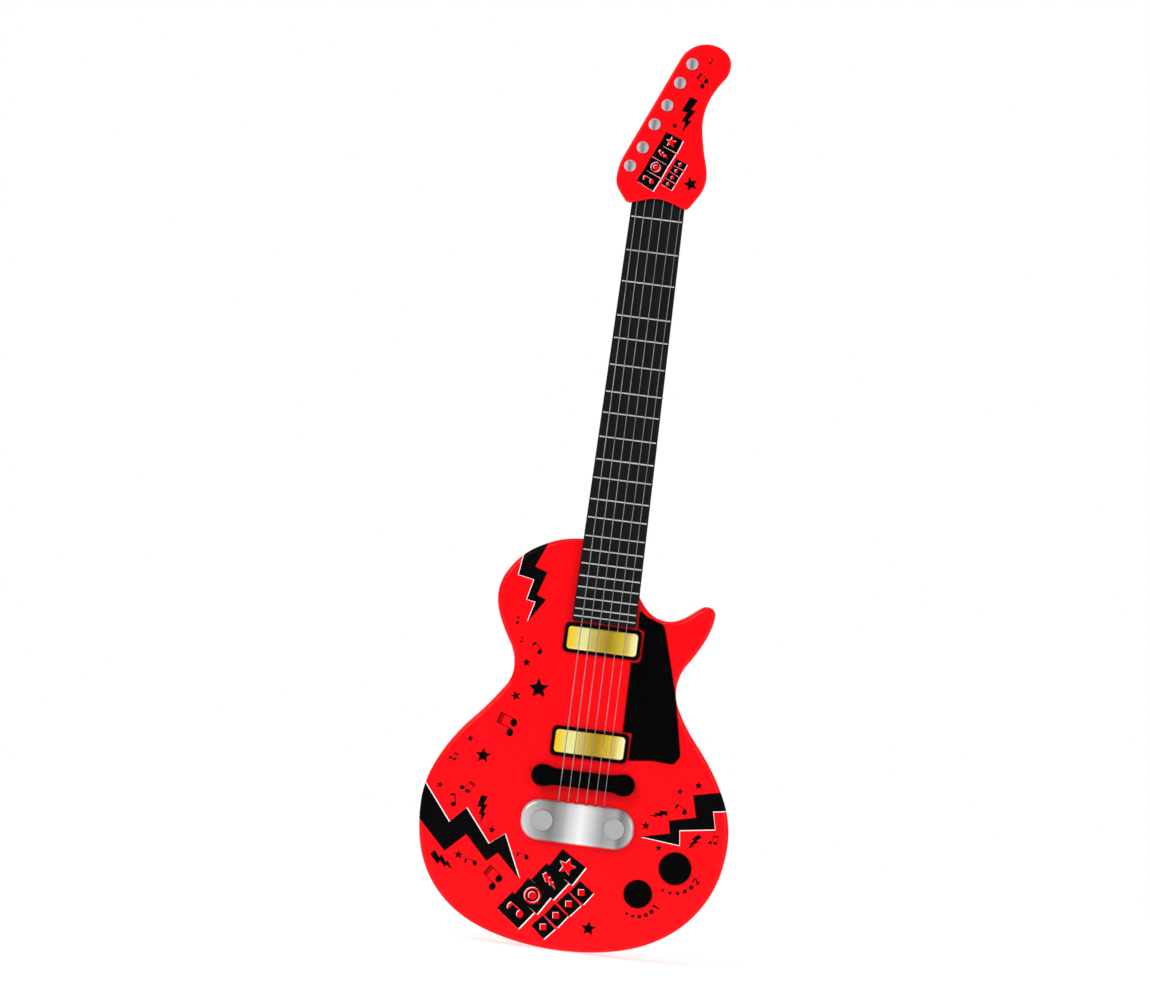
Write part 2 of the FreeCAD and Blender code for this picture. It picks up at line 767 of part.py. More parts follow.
def bridge():
    """A low base with a disc at each end, and a crest along it that carries the strings."""
    body = new_body("bridge")
    left, right, low, high = BRIDGE_BAR
    z = BRIDGE_Z
    radius = BRIDGE_END_RADIUS
    blend = 10.0
    nodes = (
        (left - radius, z, 90),
        (left, z + radius, 0),
        (left + blend, high, 0),
        (right - blend, high, 0),
        (right, z + radius, 0),
        (right + radius, z, -90),
        (right, z - radius, -180),
        (right - blend, low, -180),
        (left + blend, low, -180),
        (left, z - radius, -180),
    )
    base = new_sketch(body, "base", "sizes.face_height")
    draw(base, smooth_outline(nodes))
    block = pad(body, base, "sizes.bridge_end_height")
    top = size("face_height") + size("bridge_end_height")
    round_edges(body, edges_at(block.Shape, top), "sizes.cover_round")
    crest = new_sketch(body, "crest", "sizes.face_height")
    draw(crest, rounded_rectangle(left - 1.0, right + 1.0, z - 3.4, z + 3.4, 3.39))
    pad(body, crest, "sizes.bridge_height")
    top = size("face_height") + size("bridge_height")
    round_edges(body, edges_at(body.Shape, top), "sizes.cover_round")
    return body


def tailpiece():
    body = new_body("tailpiece_cover")
    outline = new_sketch(body, "outline", "sizes.face_height")
    draw(outline, rounded_rectangle(*TAIL_BOX, TAIL_CORNER))
    block = pad(body, outline, "sizes.tail_height")
    top = size("face_height") + size("tail_height")
    round_edges(body, edges_at(block.Shape, top), "sizes.tail_round")
    wall = size("tail_wall")
    left, right, low, high = TAIL_BOX
    hollow = new_sketch(body, "hollow", "sizes.face_height")
    draw(hollow, rounded_rectangle(left + wall, right - wall, low + wall, high - wall, TAIL_CORNER - wall))
    pocket(body, hollow, "sizes.tail_height - sizes.tail_wall", forwards=True)
    notches = new_sketch(body, "notches", "sizes.face_height")
    for x in STRING_X_TAIL:
        draw(notches, rectangle(x - 1.2, x + 1.2, high - wall - 0.5, high + 1.0))
    pocket(body, notches, "sizes.tail_height - sizes.tail_wall + 0.5", forwards=True)
    discs = []
    for number, (x, z) in enumerate(TAIL_STUDS):
        discs.append(cylinder(f"stud_{number}", x, z, top, "sizes.stud_thick", "sizes.stud_radius"))
    keep(group("tailpiece_studs", discs), "tailpiece_studs")
    return body


def string_bores(name, places, height, low, high):
    """Six holes along Z, each a little wider than its string."""
    bores = []
    for number, (x, radius) in enumerate(zip(places, STRING_RADII)):
        bore = doc.addObject("Part::Cylinder", f"{name}_{number}")
        bore.Radius = radius + STRING_PLAY
        bore.Height = high - low + 2
        bore.Placement = Placement(Vector(x, -height, low - 1), Rotation())
        bores.append(bore)
    return fuse(name, bores)


def anchor_bar():
    left, right, low, high = ANCHOR_SPAN
    base = box("anchor_block", left, low, size("face_height"), right - left, high - low, ANCHOR_THICK)
    bores = string_bores("anchor_bores", STRING_X_TAIL, STRING_TAIL_HEIGHT, low, high)
    return keep(cut("string_anchor_bar", base, bores), "string_anchor_bar")


def string_nut():
    height = size("face_height") + size("board_thick")
    tall = NUT_TOP_Z - NUT_BOTTOM_Z
    base = box("nut_block", -NUT_HALF, NUT_BOTTOM_Z, height, 2 * NUT_HALF, tall, NUT_THICK)
    bores = string_bores("nut_bores", STRING_X_NUT, STRING_NUT_HEIGHT, NUT_BOTTOM_Z, NUT_TOP_Z)
    return keep(cut("string_nut", base, bores), "string_nut")


def strings():
    """Each string: a wire bent over the bridge and a ball end beyond the anchor bar and the nut."""
    crest = size("face_height") + size("bridge_height")
    for number in range(6):
        tail_x = STRING_X_TAIL[number]
        nut_x = STRING_X_NUT[number]
        radius = STRING_RADII[number]
        points = (
            Vector(tail_x, -STRING_TAIL_HEIGHT, STRING_TAIL_Z),
            Vector(tail_x, -STRING_TAIL_HEIGHT, STRING_BEND_Z),
            Vector(tail_x, -crest - radius - 0.05, STRING_CREST_Z),
            Vector(nut_x, -STRING_NUT_HEIGHT, 0.5),
            Vector(nut_x, -STRING_NUT_HEIGHT, STRING_NUT_Z),
        )
        line = doc.addObject("Part::Polygon", f"string_{number}_line")
        line.Nodes = points
        wire = swept_ring(f"string_{number}_wire", line, radius, points[0], Rotation(),
                          Transition="Round corner")
        pieces = [wire]
        for end, low in enumerate((STRING_TAIL_Z - size("ball_length") + 0.2, STRING_NUT_Z - 0.2)):
            ball = doc.addObject("Part::Cylinder", f"string_{number}_ball_{end}")
            bind(ball, "Radius", "sizes.ball_radius")
            bind(ball, "Height", "sizes.ball_length")
            x = nut_x if end else tail_x
            height = STRING_NUT_HEIGHT if end else STRING_TAIL_HEIGHT
            ball.Placement = Placement(Vector(x, -height, low), Rotation())
            pieces.append(ball)
        label = f"string_{number + 1}"
        keep(fuse(label, pieces), label)


# ---- neck ------------------------------------------------------------------------------------------


def board_half_width(z):
    """Half the fretboard's width at a height z along the neck."""
    share = (size("board_top") - z) / (size("board_top") + size("board_end"))
    return size("board_half_top") + (size("board_half_end") - size("board_half_top")) * share


def fretboard():
    body = new_body("fretboard")
    outline = new_sketch(body, "outline", "sizes.face_height")
    top = size("board_top")
    low = -size("board_end")
    wide = size("board_half_end")
    narrow = size("board_half_top")
    corners = ((-wide, low, 1.5), (-narrow, top, 0.5), (narrow, top, 0.5), (wide, low, 1.5))
    draw(outline, rounded_corners(corners))
    block = pad(body, outline, "sizes.board_thick")
    height = size("face_height") + size("board_thick")
    round_edges(body, edges_at(block.Shape, height), "sizes.board_round")
    return body


def frets():
    """Half round wires across the board, one solid each."""
    base = size("face_height") + size("board_thick")
    bars = []
    z = FIRST_FRET
    for number in range(len(FRET_GAPS) + 1):
        half = board_half_width(z) - size("board_round") - 0.1
        rod = doc.addObject("Part::Cylinder", f"fret_rod_{number}")
        bind(rod, "Radius", "sizes.fret_radius")
        rod.Height = 2 * half
        rod.Placement = Placement(Vector(-half, -base, z), ALONG_X)
        keep_box = box(f"fret_box_{number}", -half, z - size("fret_width") / 2, base,
                       2 * half, "sizes.fret_width", "sizes.fret_radius")
        bars.append(common(f"fret_{number}", rod, keep_box))
        if number < len(FRET_GAPS):
            z -= FRET_GAPS[number]
    return keep(group("frets", bars), "frets")


def neck_section(body, name, z, half, back):
    """A D section across the neck: flat towards the fretboard, round at the back."""
    sketch = new_sketch(body, name, z, "XY_Plane")
    flat = -size("face_height")
    side = flat + NECK_SIDE
    corners = [Vector(-half, flat, 0), Vector(half, flat, 0), Vector(half, side, 0), Vector(-half, side, 0)]
    sketch.addGeometry(Part.LineSegment(corners[0], corners[1]), False)
    sketch.addGeometry(Part.LineSegment(corners[1], corners[2]), False)
    sketch.addGeometry(Part.Arc(corners[2], Vector(0, -back, 0), corners[3]), False)
    sketch.addGeometry(Part.LineSegment(corners[3], corners[0]), False)
    return sketch


def neck_back_shell():
    body = new_body("neck_back_shell")
    joint = size("neck_joint")
    back = size("neck_back_height")
    low = neck_section(body, "low_section", -joint, board_half_width(-joint) - 0.1, back)
    high = neck_section(body, "high_section", 17.0, board_half_width(17.0) - 0.1, back + 1.5)
    loft = body.newObject("PartDesign::AdditiveLoft", "neck_loft")
    loft.Profile = low
    loft.Sections = [high]
    finish(loft, "neck_loft")
    # the end inside the headstock is rounded seen from behind, and slopes down seen from the side
    far = new_sketch(body, "round_end", 30.0)
    half = 40.0
    end = [
        (Vector(-half, 40.0, 0), None, Vector(half, 40.0, 0), None),
        (Vector(half, 40.0, 0), None, Vector(half, -4.0, 0), None),
        (Vector(half, -4.0, 0), None, Vector(18.6, -4.0, 0), None),
        (Vector(18.6, -4.0, 0), Vector(0, 15.5, 0), Vector(-18.6, -4.0, 0), None),
        (Vector(-18.6, -4.0, 0), None, Vector(-half, -4.0, 0), None),
        (Vector(-half, -4.0, 0), None, Vector(-half, 40.0, 0), None),
    ]
    draw(far, end)
    pocket(body, far, 60.0)
    slope = new_sketch(body, "slope", 40.0, "YZ_Plane")
    nodes = [
        (Vector(-2.0, -22.0, 0), None, Vector(-5.4, -22.0, 0), None),
        (Vector(-5.4, -22.0, 0), Vector(-7.6, -6.0, 0), Vector(-12.6, 6.0, 0), None),
        (Vector(-12.6, 6.0, 0), None, Vector(-13.2, 30.0, 0), None),
        (Vector(-13.2, 30.0, 0), None, Vector(-2.0, 30.0, 0), None),
        (Vector(-2.0, 30.0, 0), None, Vector(-2.0, -22.0, 0), None),
    ]
    draw(slope, nodes)
    pocket(body, slope, 80.0)
    channel = new_sketch(body, "channel", "sizes.face_height")
    half = size("neck_channel_half")
    draw(channel, rectangle(-half, half, -232.0, -18.0))
    pocket(body, channel, "sizes.neck_channel_depth")
    tongue = new_sketch(body, "tongue", "sizes.face_height")
    half = size("tongue_half_width")
    draw(tongue, rectangle(-half, half, -size("tongue_bottom"), -joint + 1.0))
    pad(body, tongue, "sizes.tongue_depth", backwards=True)
    holes = new_sketch(body, "tongue_holes", "sizes.face_height - sizes.tongue_depth")
    draw_circles(holes, NECK_SCREWS, "sizes.screw_shank_radius + 0.02")
    pocket(body, holes, "sizes.tongue_depth - 1.5", forwards=True)
    tab = new_sketch(body, "head_tab", "sizes.face_height")
    draw(tab, rounded_rectangle(-8.0, 8.0, 8.0, 29.5, 2.0))
    pad(body, tab, TAB_THICK, backwards=True)
    tab_hole = new_sketch(body, "tab_hole", "sizes.face_height")
    draw_circles(tab_hole, (TAB_SCREW,), "sizes.clear_radius - 0.3")
    pocket(body, tab_hole, TAB_THICK + 1)
    return body


# ---- headstock ---------------------------------------------------------------------------------------


def head_front():
    body = new_body("head_front_shell")
    outline = new_sketch(body, "outline", "sizes.head_split_height")
    draw(outline, HEAD_OUTLINE)
    block = pad(body, outline, "sizes.head_front_height - sizes.head_split_height")
    round_edges(body, edges_at(block.Shape, size("head_front_height")), "sizes.head_round")
    hollow = new_sketch(body, "hollow", "sizes.head_split_height")
    draw(hollow, inset(HEAD_OUTLINE, size("head_wall")))
    depth = "sizes.head_front_height - sizes.head_split_height - sizes.head_wall"
    pocket(body, hollow, depth, forwards=True)
    bosses = new_sketch(body, "bosses", "sizes.head_split_height")
    draw_circles(bosses, HEAD_SCREWS, "sizes.boss_radius - 0.6")
    pad(body, bosses, f"{depth} + 0.5")
    tab_boss = new_sketch(body, "tab_boss", "sizes.face_height + 0.05")
    draw_circles(tab_boss, (TAB_SCREW,), "sizes.boss_radius - 0.6")
    pad(body, tab_boss, "sizes.head_front_height - sizes.face_height - sizes.head_wall + 0.4")
    pilots = new_sketch(body, "pilots", "sizes.face_height + 0.05")
    draw_circles(pilots, (*HEAD_SCREWS, TAB_SCREW), "sizes.pilot_radius")
    pocket(body, pilots, "sizes.head_front_height - sizes.face_height - sizes.head_wall", forwards=True)
    mouth = new_sketch(body, "mouth", "sizes.head_split_height")
    half = board_half_width(0) + 0.25
    draw(mouth, rectangle(-half, half, -8.0, size("board_top") + 4.0))
    pocket(body, mouth, depth, forwards=True)
    holes = new_sketch(body, "cap_holes", "sizes.head_front_height")
    draw_circles(holes, TUNER_CAPS, "sizes.cap_hole_radius")
    pocket(body, holes, "sizes.head_wall + 0.5")
    return body


def neck_seat():
    """The rounded cut in the back of the headstock that the neck's end fills."""
    return [
        (Vector(19.0, -20.0, 0), None, Vector(-19.0, -20.0, 0), None),
        (Vector(-19.0, -20.0, 0), None, Vector(-19.0, -3.8, 0), None),
        (Vector(-19.0, -3.8, 0), Vector(0, 15.9, 0), Vector(19.0, -3.8, 0), None),
        (Vector(19.0, -3.8, 0), None, Vector(19.0, -20.0, 0), None),
    ]


def head_back():
    body = new_body("head_back_shell")
    outline = new_sketch(body, "outline", "sizes.head_split_height")
    draw(outline, HEAD_OUTLINE)
    block = pad(body, outline, "sizes.head_split_height - sizes.head_back_height", backwards=True)
    round_edges(body, edges_at(block.Shape, size("head_back_height")), "sizes.head_round")
    hollow = new_sketch(body, "hollow", "sizes.head_split_height")
    draw(hollow, inset(HEAD_OUTLINE, size("head_wall")))
    pocket(body, hollow, "sizes.head_split_height - sizes.head_back_height - sizes.head_wall")
    bosses = new_sketch(body, "bosses", "sizes.head_split_height")
    draw_circles(bosses, HEAD_SCREWS, "sizes.boss_radius + 0.4")
    pad(body, bosses, "sizes.head_split_height - sizes.head_back_height - 1", backwards=True)
    tab_boss = new_sketch(body, "tab_boss", f"sizes.face_height - {TAB_THICK} - 0.05")
    draw_circles(tab_boss, (TAB_SCREW,), "sizes.boss_radius + 0.4")
    pad(body, tab_boss, f"sizes.face_height - {TAB_THICK} - sizes.head_back_height - 1", backwards=True)
    holes = new_sketch(body, "screw_holes", "sizes.head_split_height")
    draw_circles(holes, (*HEAD_SCREWS, TAB_SCREW), "sizes.clear_radius - 0.3")
    pocket(body, holes, "sizes.head_split_height - sizes.head_back_height")
    heads = new_sketch(body, "screw_heads", "sizes.head_back_height")
    draw_circles(heads, (*HEAD_SCREWS, TAB_SCREW), "sizes.screw_head_radius + 0.4")
    pocket(body, heads, "sizes.screw_head_height + 1", forwards=True)
    seat = new_sketch(body, "neck_seat", "sizes.head_split_height")
    draw(seat, neck_seat())
    pocket(body, seat, 20.0)
    return body


def tuner_caps():
    """A shallow domed cap on a pin that goes through the headstock's face."""
    face = size("head_front_height")
    for number, (x, z) in enumerate(TUNER_CAPS, start=1):
        name = f"tuner_cap_{number}"
        disc = cylinder(f"{name}_disc", x, z, face, "sizes.cap_thick - 0.8", "sizes.cap_radius")
        top = cone(f"{name}_top", x, z, face + size("cap_thick") - 0.8, 0.8,
                   "sizes.cap_radius", "sizes.cap_radius - 1")
        pin = cylinder(f"{name}_pin", x, z, face - 3.0, 3.2, "sizes.cap_pin_radius")
        keep(fuse(name, [disc, top, pin]), name)


# ---- electronics -----------------------------------------------------------------------------------


def main_board():
    body = new_body("main_board")
    outline = new_sketch(body, "outline", "sizes.circuit_front")
    draw(outline, rounded_corners(BOARD_CORNERS))
    pad(body, outline, "sizes.circuit_thick", backwards=True)
    holes = new_sketch(body, "holes", "sizes.circuit_front")
    draw_circles(holes, BOARD_SCREWS, "sizes.clear_radius - 0.2")
    pocket(body, holes, "sizes.circuit_thick + 1")
    back = size("circuit_front") - size("circuit_thick")
    x, z = CHIP_CENTRE
    blob = doc.addObject("Part::Sphere", "chip_dome")
    blob.Radius = CHIP_DOME_RADIUS
    blob.Placement = Placement(Vector(x, -back - CHIP_DOME_SUNK, z), Rotation())
    trim = box("chip_trim", x - CHIP_DOME_RADIUS, z - CHIP_DOME_RADIUS, back - CHIP_DOME_RADIUS,
               2 * CHIP_DOME_RADIUS, 2 * CHIP_DOME_RADIUS, CHIP_DOME_RADIUS)
    keep(common("sound_chip", blob, trim), "sound_chip")
    parts = []
    for number, (x, z, long, wide) in enumerate(SMALL_PARTS):
        name = f"component_{number}"
        parts.append(box(name, x, z, back - SMALL_PART_THICK, long, wide, SMALL_PART_THICK))
    parts.append(cylinder("component_can", *CAN_CENTRE, back, CAN_LENGTH, CAN_RADIUS, True))
    keep(group("board_components", parts), "board_components")


def buttons():
    """For each button: cap with flange and stem, return spring, switch on the board, plunger."""
    inside = size("face_height") - size("shell_wall")
    circuit = size("circuit_front")
    flange_back = inside - size("button_flange_thick")
    for name, x, z, radius in BUTTONS:
        cap = new_body(f"{name}_button")
        round_part = new_sketch(cap, "cap", flange_back)
        draw_circles(round_part, ((x, z),), radius)
        top = size("face_height") + size("button_proud")
        block = pad(cap, round_part, top - flange_back)
        round_edges(cap, edges_at(block.Shape, top), "sizes.cover_round")
        flange = new_sketch(cap, "flange", flange_back)
        draw_circles(flange, ((x, z),), f"{radius} + sizes.button_flange")
        pad(cap, flange, "sizes.button_flange_thick - 0.05")
        stem = new_sketch(cap, "stem", flange_back)
        draw_circles(stem, ((x, z),), "sizes.button_stem_radius")
        reach = flange_back - circuit - size("switch_height") - 1.6
        pad(cap, stem, reach, backwards=True)
        switch_top = circuit + size("switch_height")
        half = size("switch_side") / 2
        block = box(f"{name}_switch_block", x - half, z - half, circuit, "sizes.switch_side",
                    "sizes.switch_side", "sizes.switch_height")
        bore = cylinder(f"{name}_switch_bore", x, z, circuit + 0.6, 5.0, "sizes.plunger_bore")
        keep(cut(f"{name}_switch", block, bore), f"{name}_switch")
        plunger = cylinder(f"{name}_plunger", x, z, circuit + 2.2, switch_top + 1.6 - circuit - 2.2,
                           "sizes.plunger_radius")
        keep(plunger, f"{name}_plunger")
        coil(f"{name}_spring", x, z, circuit, flange_back)


def coil(label, x, z, low, high):
    """A compression spring along Y between two heights, with a little play at each end."""
    play = 0.05
    wire = size("spring_wire_radius")
    start = Vector(x, -low - wire - play, z)
    height = high - low - 2 * wire - 2 * play
    made = spring(label, start, TO_FRONT, Rotation(), "sizes.spring_radius", "sizes.spring_wire_radius",
                  height, SPRING_TURNS)
    return keep(made, label)


def speaker():
    """Basket, magnet and cone. Heights in here are measured from the inner face of the back wall."""
    x, z = SPEAKER
    floor = -(size("back_depth") - size("shell_wall"))
    rim_thick = 2.5
    basket_end = 9.0
    ring = cylinder("basket_ring", x, z, floor, rim_thick, "sizes.speaker_radius")
    taper = cone("basket_taper", x, z, floor + rim_thick, basket_end - rim_thick, 27.5, 15.5)
    mouth = cylinder("basket_mouth", x, z, floor - 0.1, 2.2, 25.6)
    dish = cone("basket_dish", x, z, floor + 2.0, basket_end - 1.9, 25.6, 12.0)
    solid = fuse("basket_solid", [ring, taper])
    keep(cut("speaker_basket", solid, fuse("basket_space", [dish, mouth])), "speaker_basket")
    behind = floor + basket_end
    magnet = cylinder("speaker_magnet", x, z, behind, "sizes.magnet_thick", "sizes.magnet_radius")
    keep(magnet, "speaker_magnet")
    outside = cone("cone_outside", x, z, floor + 0.8, 7.0, 25.0, 9.5)
    inside = cone("cone_inside", x, z, floor + 0.79, 6.2, 24.2, 9.0)
    dome = doc.addObject("Part::Sphere", "cone_dome")
    dome.Radius = 10.0
    dome.Placement = Placement(Vector(x, -(floor + 11.5), z), Rotation())
    cap = common("cone_cap", dome, cylinder("cone_cap_trim", x, z, floor + 1.0, 6.5, 9.6))
    keep(fuse("speaker_cone", [cut("cone_shell", outside, inside), cap]), "speaker_cone")


def battery_bay():
    """A tray behind the door with three cells, contact plates, contact springs, door and screw."""
    inner = -(size("back_depth") - size("shell_wall"))
    battery_tray(inner)
    x, z = BOX_CENTRE
    half_long = size("door_length") / 2
    left = x - half_long + TRAY_INSET
    right = x + half_long - TRAY_INSET - DOOR_STRIP
    start = left + (right - left - size("cell_length")) / 2
    axis = inner + CELL_AXIS
    coils = []
    for number in range(3):
        cell_z = z + (number - 1) * CELL_PITCH
        knob_left = number % 2 == 0
        battery_cell(number, start, -axis, cell_z, knob_left)
        coils.append(contact_coil(number, start, left, -axis, cell_z, knob_left))
    keep(group("battery_springs", coils), "battery_springs")
    plates = []
    for number, plate_x in enumerate((left, right - CONTACT_THICK)):
        for step in range(3):
            low = z + (step - 1) * CELL_PITCH - CONTACT_SIDE / 2
            plates.append(box(f"contact_{number}_{step}", plate_x, low, inner + 3.0, CONTACT_THICK,
                              CONTACT_SIDE, CONTACT_TALL))
    keep(group("battery_contacts", plates), "battery_contacts")
    battery_door(inner)


def battery_tray(inner):
    """An open tray on the back wall, with notches for the door's tabs and a boss for its screw."""
    x, z = BOX_CENTRE
    half_long = size("door_length") / 2
    half_wide = size("door_width") / 2
    rim = TRAY_RIM
    outer = box("tray_outer", x - half_long - rim, z - half_wide - rim, inner, 2 * (half_long + rim),
                2 * (half_wide + rim), TRAY_DEPTH)
    space = box("tray_space", x - half_long + TRAY_INSET, z - half_wide + TRAY_INSET, inner - 1.0,
                2 * (half_long - TRAY_INSET) - DOOR_STRIP, 2 * (half_wide - TRAY_INSET),
                TRAY_DEPTH - size("box_wall") + 1.0)
    tools = [space]
    for number, offset in enumerate(DOOR_TAB_OFFSETS):
        half = DOOR_TAB_HALF + 0.4
        tools.append(box(f"tray_notch_{number}", x - half_long - rim - 1.0, z + offset - half, inner - 1.0,
                         4.0, 2 * half, 6.0))
    screw_x = x + half_long - DOOR_SCREW_EDGE
    tools.append(cylinder("tray_screw_hole", screw_x, z, inner - 1.0, 12.0, 1.8))
    tools.append(cylinder("tray_screw_pocket", screw_x, z, inner - 1.0, 3.2, 4.2))
    keep(cut("battery_box", outer, fuse("tray_spaces", tools)), "battery_box")


def battery_cell(number, start, y, z, knob_left):
    """A round cell along X with its small terminal at the left or right end."""
    tube = doc.addObject("Part::Cylinder", f"cell_tube_{number}")
    bind(tube, "Radius", "sizes.cell_radius")
    bind(tube, "Height", "sizes.cell_length - 1")
    tube.Placement = Placement(Vector(start + (1.0 if knob_left else 0.0), y, z), ALONG_X)
    knob = doc.addObject("Part::Cylinder", f"cell_knob_{number}")
    knob.Radius = CELL_KNOB_RADIUS
    knob.Height = CELL_KNOB_LENGTH
    knob_x = start if knob_left else start + size("cell_length") - CELL_KNOB_LENGTH
    knob.Placement = Placement(Vector(knob_x, y, z), ALONG_X)
    label = f"battery_cell_{number + 1}"
    keep(fuse(label, [tube, knob]), label)


def contact_coil(number, start, left, y, z, knob_left):
    """A short coil between a contact plate and the flat end of a cell."""
    gap = start - left - CONTACT_THICK
    base = start + size("cell_length") if knob_left else left + CONTACT_THICK
    end_play = CONTACT_WIRE_RADIUS + 0.05
    place = Vector(base + end_play, y, z)
    return spring(f"contact_coil_{number}", place, ALONG_X, TO_FRONT, CONTACT_COIL_RADIUS,
                  CONTACT_WIRE_RADIUS, gap - 2 * end_play, CONTACT_COIL_TURNS)


def battery_door(inner):
    """A flush panel that hooks in by two tabs on its left edge and closes with one screw."""
    x, z = BOX_CENTRE
    half_long = size("door_length") / 2
    half_wide = size("door_width") / 2
    panel = new_body("battery_door")
    plan = new_sketch(panel, "plan", inner - 0.05)
    draw(plan, rounded_rectangle(x - half_long, x + half_long, z - half_wide, z + half_wide, 1.7))
    pad(panel, plan, "sizes.door_thick", backwards=True)
    edge = x - half_long
    spans = [(z + offset - DOOR_TAB_HALF, z + offset + DOOR_TAB_HALF) for offset in DOOR_TAB_OFFSETS]
    risers = new_sketch(panel, "risers", inner + 1.55)
    for low, high in spans:
        draw(risers, rectangle(edge, edge + 0.45, low, high))
    pad(panel, risers, 2.0, backwards=True)
    tabs = new_sketch(panel, "tabs", inner + 1.55)
    for low, high in spans:
        draw(tabs, rectangle(edge - 2.4, edge + 0.45, low, high))
    pad(panel, tabs, 1.5, backwards=True)
    screw = ((x + half_long - DOOR_SCREW_EDGE, z),)
    boss = new_sketch(panel, "boss", inner + 2.0)
    draw_circles(boss, screw, "3.9")
    pad(panel, boss, 2.5, backwards=True)
    outside = inner - size("door_thick") - 0.05
    recess = new_sketch(panel, "recess", outside)
    draw_circles(recess, screw, "sizes.screw_head_radius + 0.3")
    pocket(panel, recess, DOOR_SCREW_RECESS, forwards=True)
    hole = new_sketch(panel, "hole", outside)
    draw_circles(hole, screw, "sizes.screw_shank_radius + 0.05")
    pocket(panel, hole, "sizes.door_thick + 3", forwards=True)
    return panel


def power_switch():
    x, z = SWITCH_CENTRE
    inner = -(size("back_depth") - size("shell_wall"))
    shell = box("switch_case", x - 9.0, z - 4.5, inner, 18.0, 9.0, 6.5)
    space = box("switch_space", x - 5.2, z - 2.5, inner - 1.0, 10.4, 5.0, 5.5)
    keep(cut("power_switch_body", shell, space), "power_switch_body")
    foot = box("knob_foot", x - 5.0, z - 2.3, inner + 0.6, 6.0, 4.6, 3.6)
    grip = box("knob_grip", x - 4.6, z - 2.0, inner - 1.9, 5.0, 4.0, 3.0)
    keep(fuse("power_switch_knob", [foot, grip]), "power_switch_knob")


def wire_routes(shift):
    """Corner points, as x, height and z, of one wire of each pair: cells, loudspeaker, power switch."""
    cells = (
        (12 + shift, -6, -428.2),
        (12 + shift, -6, -434 + shift / 4),
        (27 + shift, 2.6, -445),
        (27 + shift, 2.6, -457),
        (27 + shift, 6.3, -457),
    )
    loudspeaker = (
        (-31.0, -4, -426 - shift),
        (-22, -1, -434 - shift),
        (0, 1, -450 - shift),
        (25, 2.6, -474 - shift),
        (25, 6.3, -474 - shift),
    )
    switch = (
        (-8 - shift, -9.9, -366),
        (-8 - shift, -4, -366),
        (-3 - shift, -4, -380),
        (-1 - shift, 0, -430),
        (28.6, 1.6 - shift / 2, -463 - shift / 2),
        (28.6, 6.3, -463 - shift / 2),
    )
    return cells, loudspeaker, switch


def wiring():
    """Pairs of insulated wires from the cells, the loudspeaker and the power switch to the board."""
    wires = []
    for route in (*wire_routes(0.0), *wire_routes(WIRE_SPACING)):
        name = f"wire_{len(wires)}"
        points = [Vector(x, -height, z) for x, height, z in route]
        line = doc.addObject("Part::Polygon", f"{name}_line")
        line.Nodes = points
        turn = Rotation(Vector(0, 0, 1), points[1] - points[0])
        wire = swept_ring(name, line, "sizes.wire_radius", points[0], turn, Transition="Round corner")
        wires.append(wire)
    keep(group("wiring", wires), "wiring")


def screws():
    depth = size("back_depth") - size("head_pocket_depth")
    long = screw_pattern("long_screw", depth + size("pilot_depth") - 2.5)
    moved_copies("body_screws", long, [(x, depth, z) for x, z in BODY_SCREWS])
    short = screw_pattern("short_screw", 9.6)
    floor = -(size("head_back_height") + size("screw_head_height") + 1)
    moved_copies("head_screws", short, [(x, floor, z) for x, z in (*HEAD_SCREWS, TAB_SCREW)])
    neck = screw_pattern("neck_screw", 14.0)
    moved_copies("neck_screws", neck, [(x, 0.0, z) for x, z in NECK_SCREWS])
    small = screw_pattern("small_screw", 6.0)
    back = -(size("circuit_front") - size("circuit_thick"))
    moved_copies("board_screws", small, [(x, back, z) for x, z in BOARD_SCREWS])
    tiny = screw_pattern("tiny_screw", 2.8)
    moved_copies("speaker_screws", tiny, [(x, SPEAKER_RIM, z) for x, z in SPEAKER_SCREWS], turned=True)
    x, z = BOX_CENTRE
    seat = size("back_depth") - size("shell_wall") + size("door_thick") + 0.05 - DOOR_SCREW_RECESS
    moved_copies("battery_door_screw", small, [(x + size("door_length") / 2 - DOOR_SCREW_EDGE, seat, z)])


front_shell()
back_shell()
pickguard()
pickup("neck_pickup", NECK_PICKUP)
pickup("bridge_pickup", BRIDGE_PICKUP)
bridge()
tailpiece()
anchor_bar()
string_nut()
strings()
fretboard()
frets()
neck_back_shell()
head_front()
head_back()
tuner_caps()
main_board()
buttons()
speaker()
battery_bay()
power_switch()
wiring()
screws()
doc.recompute()

os.makedirs("parts", exist_ok=True)
for obj in doc.Objects:
    if "Invalid" in obj.State or "Error" in obj.State:
        raise RuntimeError(f"{obj.Label} is not computed: {obj.State}")
for label, obj in NODES:
    shape = obj.Shape
    if shape.isNull() or not shape.isValid() or not shape.Solids:
        raise RuntimeError(f"{label} has no valid solid")
    shape.exportStep(f"parts/{label}.step")
print(f"{len(NODES)} parts written")
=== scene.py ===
import json
import math

import bmesh
import bpy
from mathutils import Matrix, Vector
from mathutils.bvhtree import BVHTree


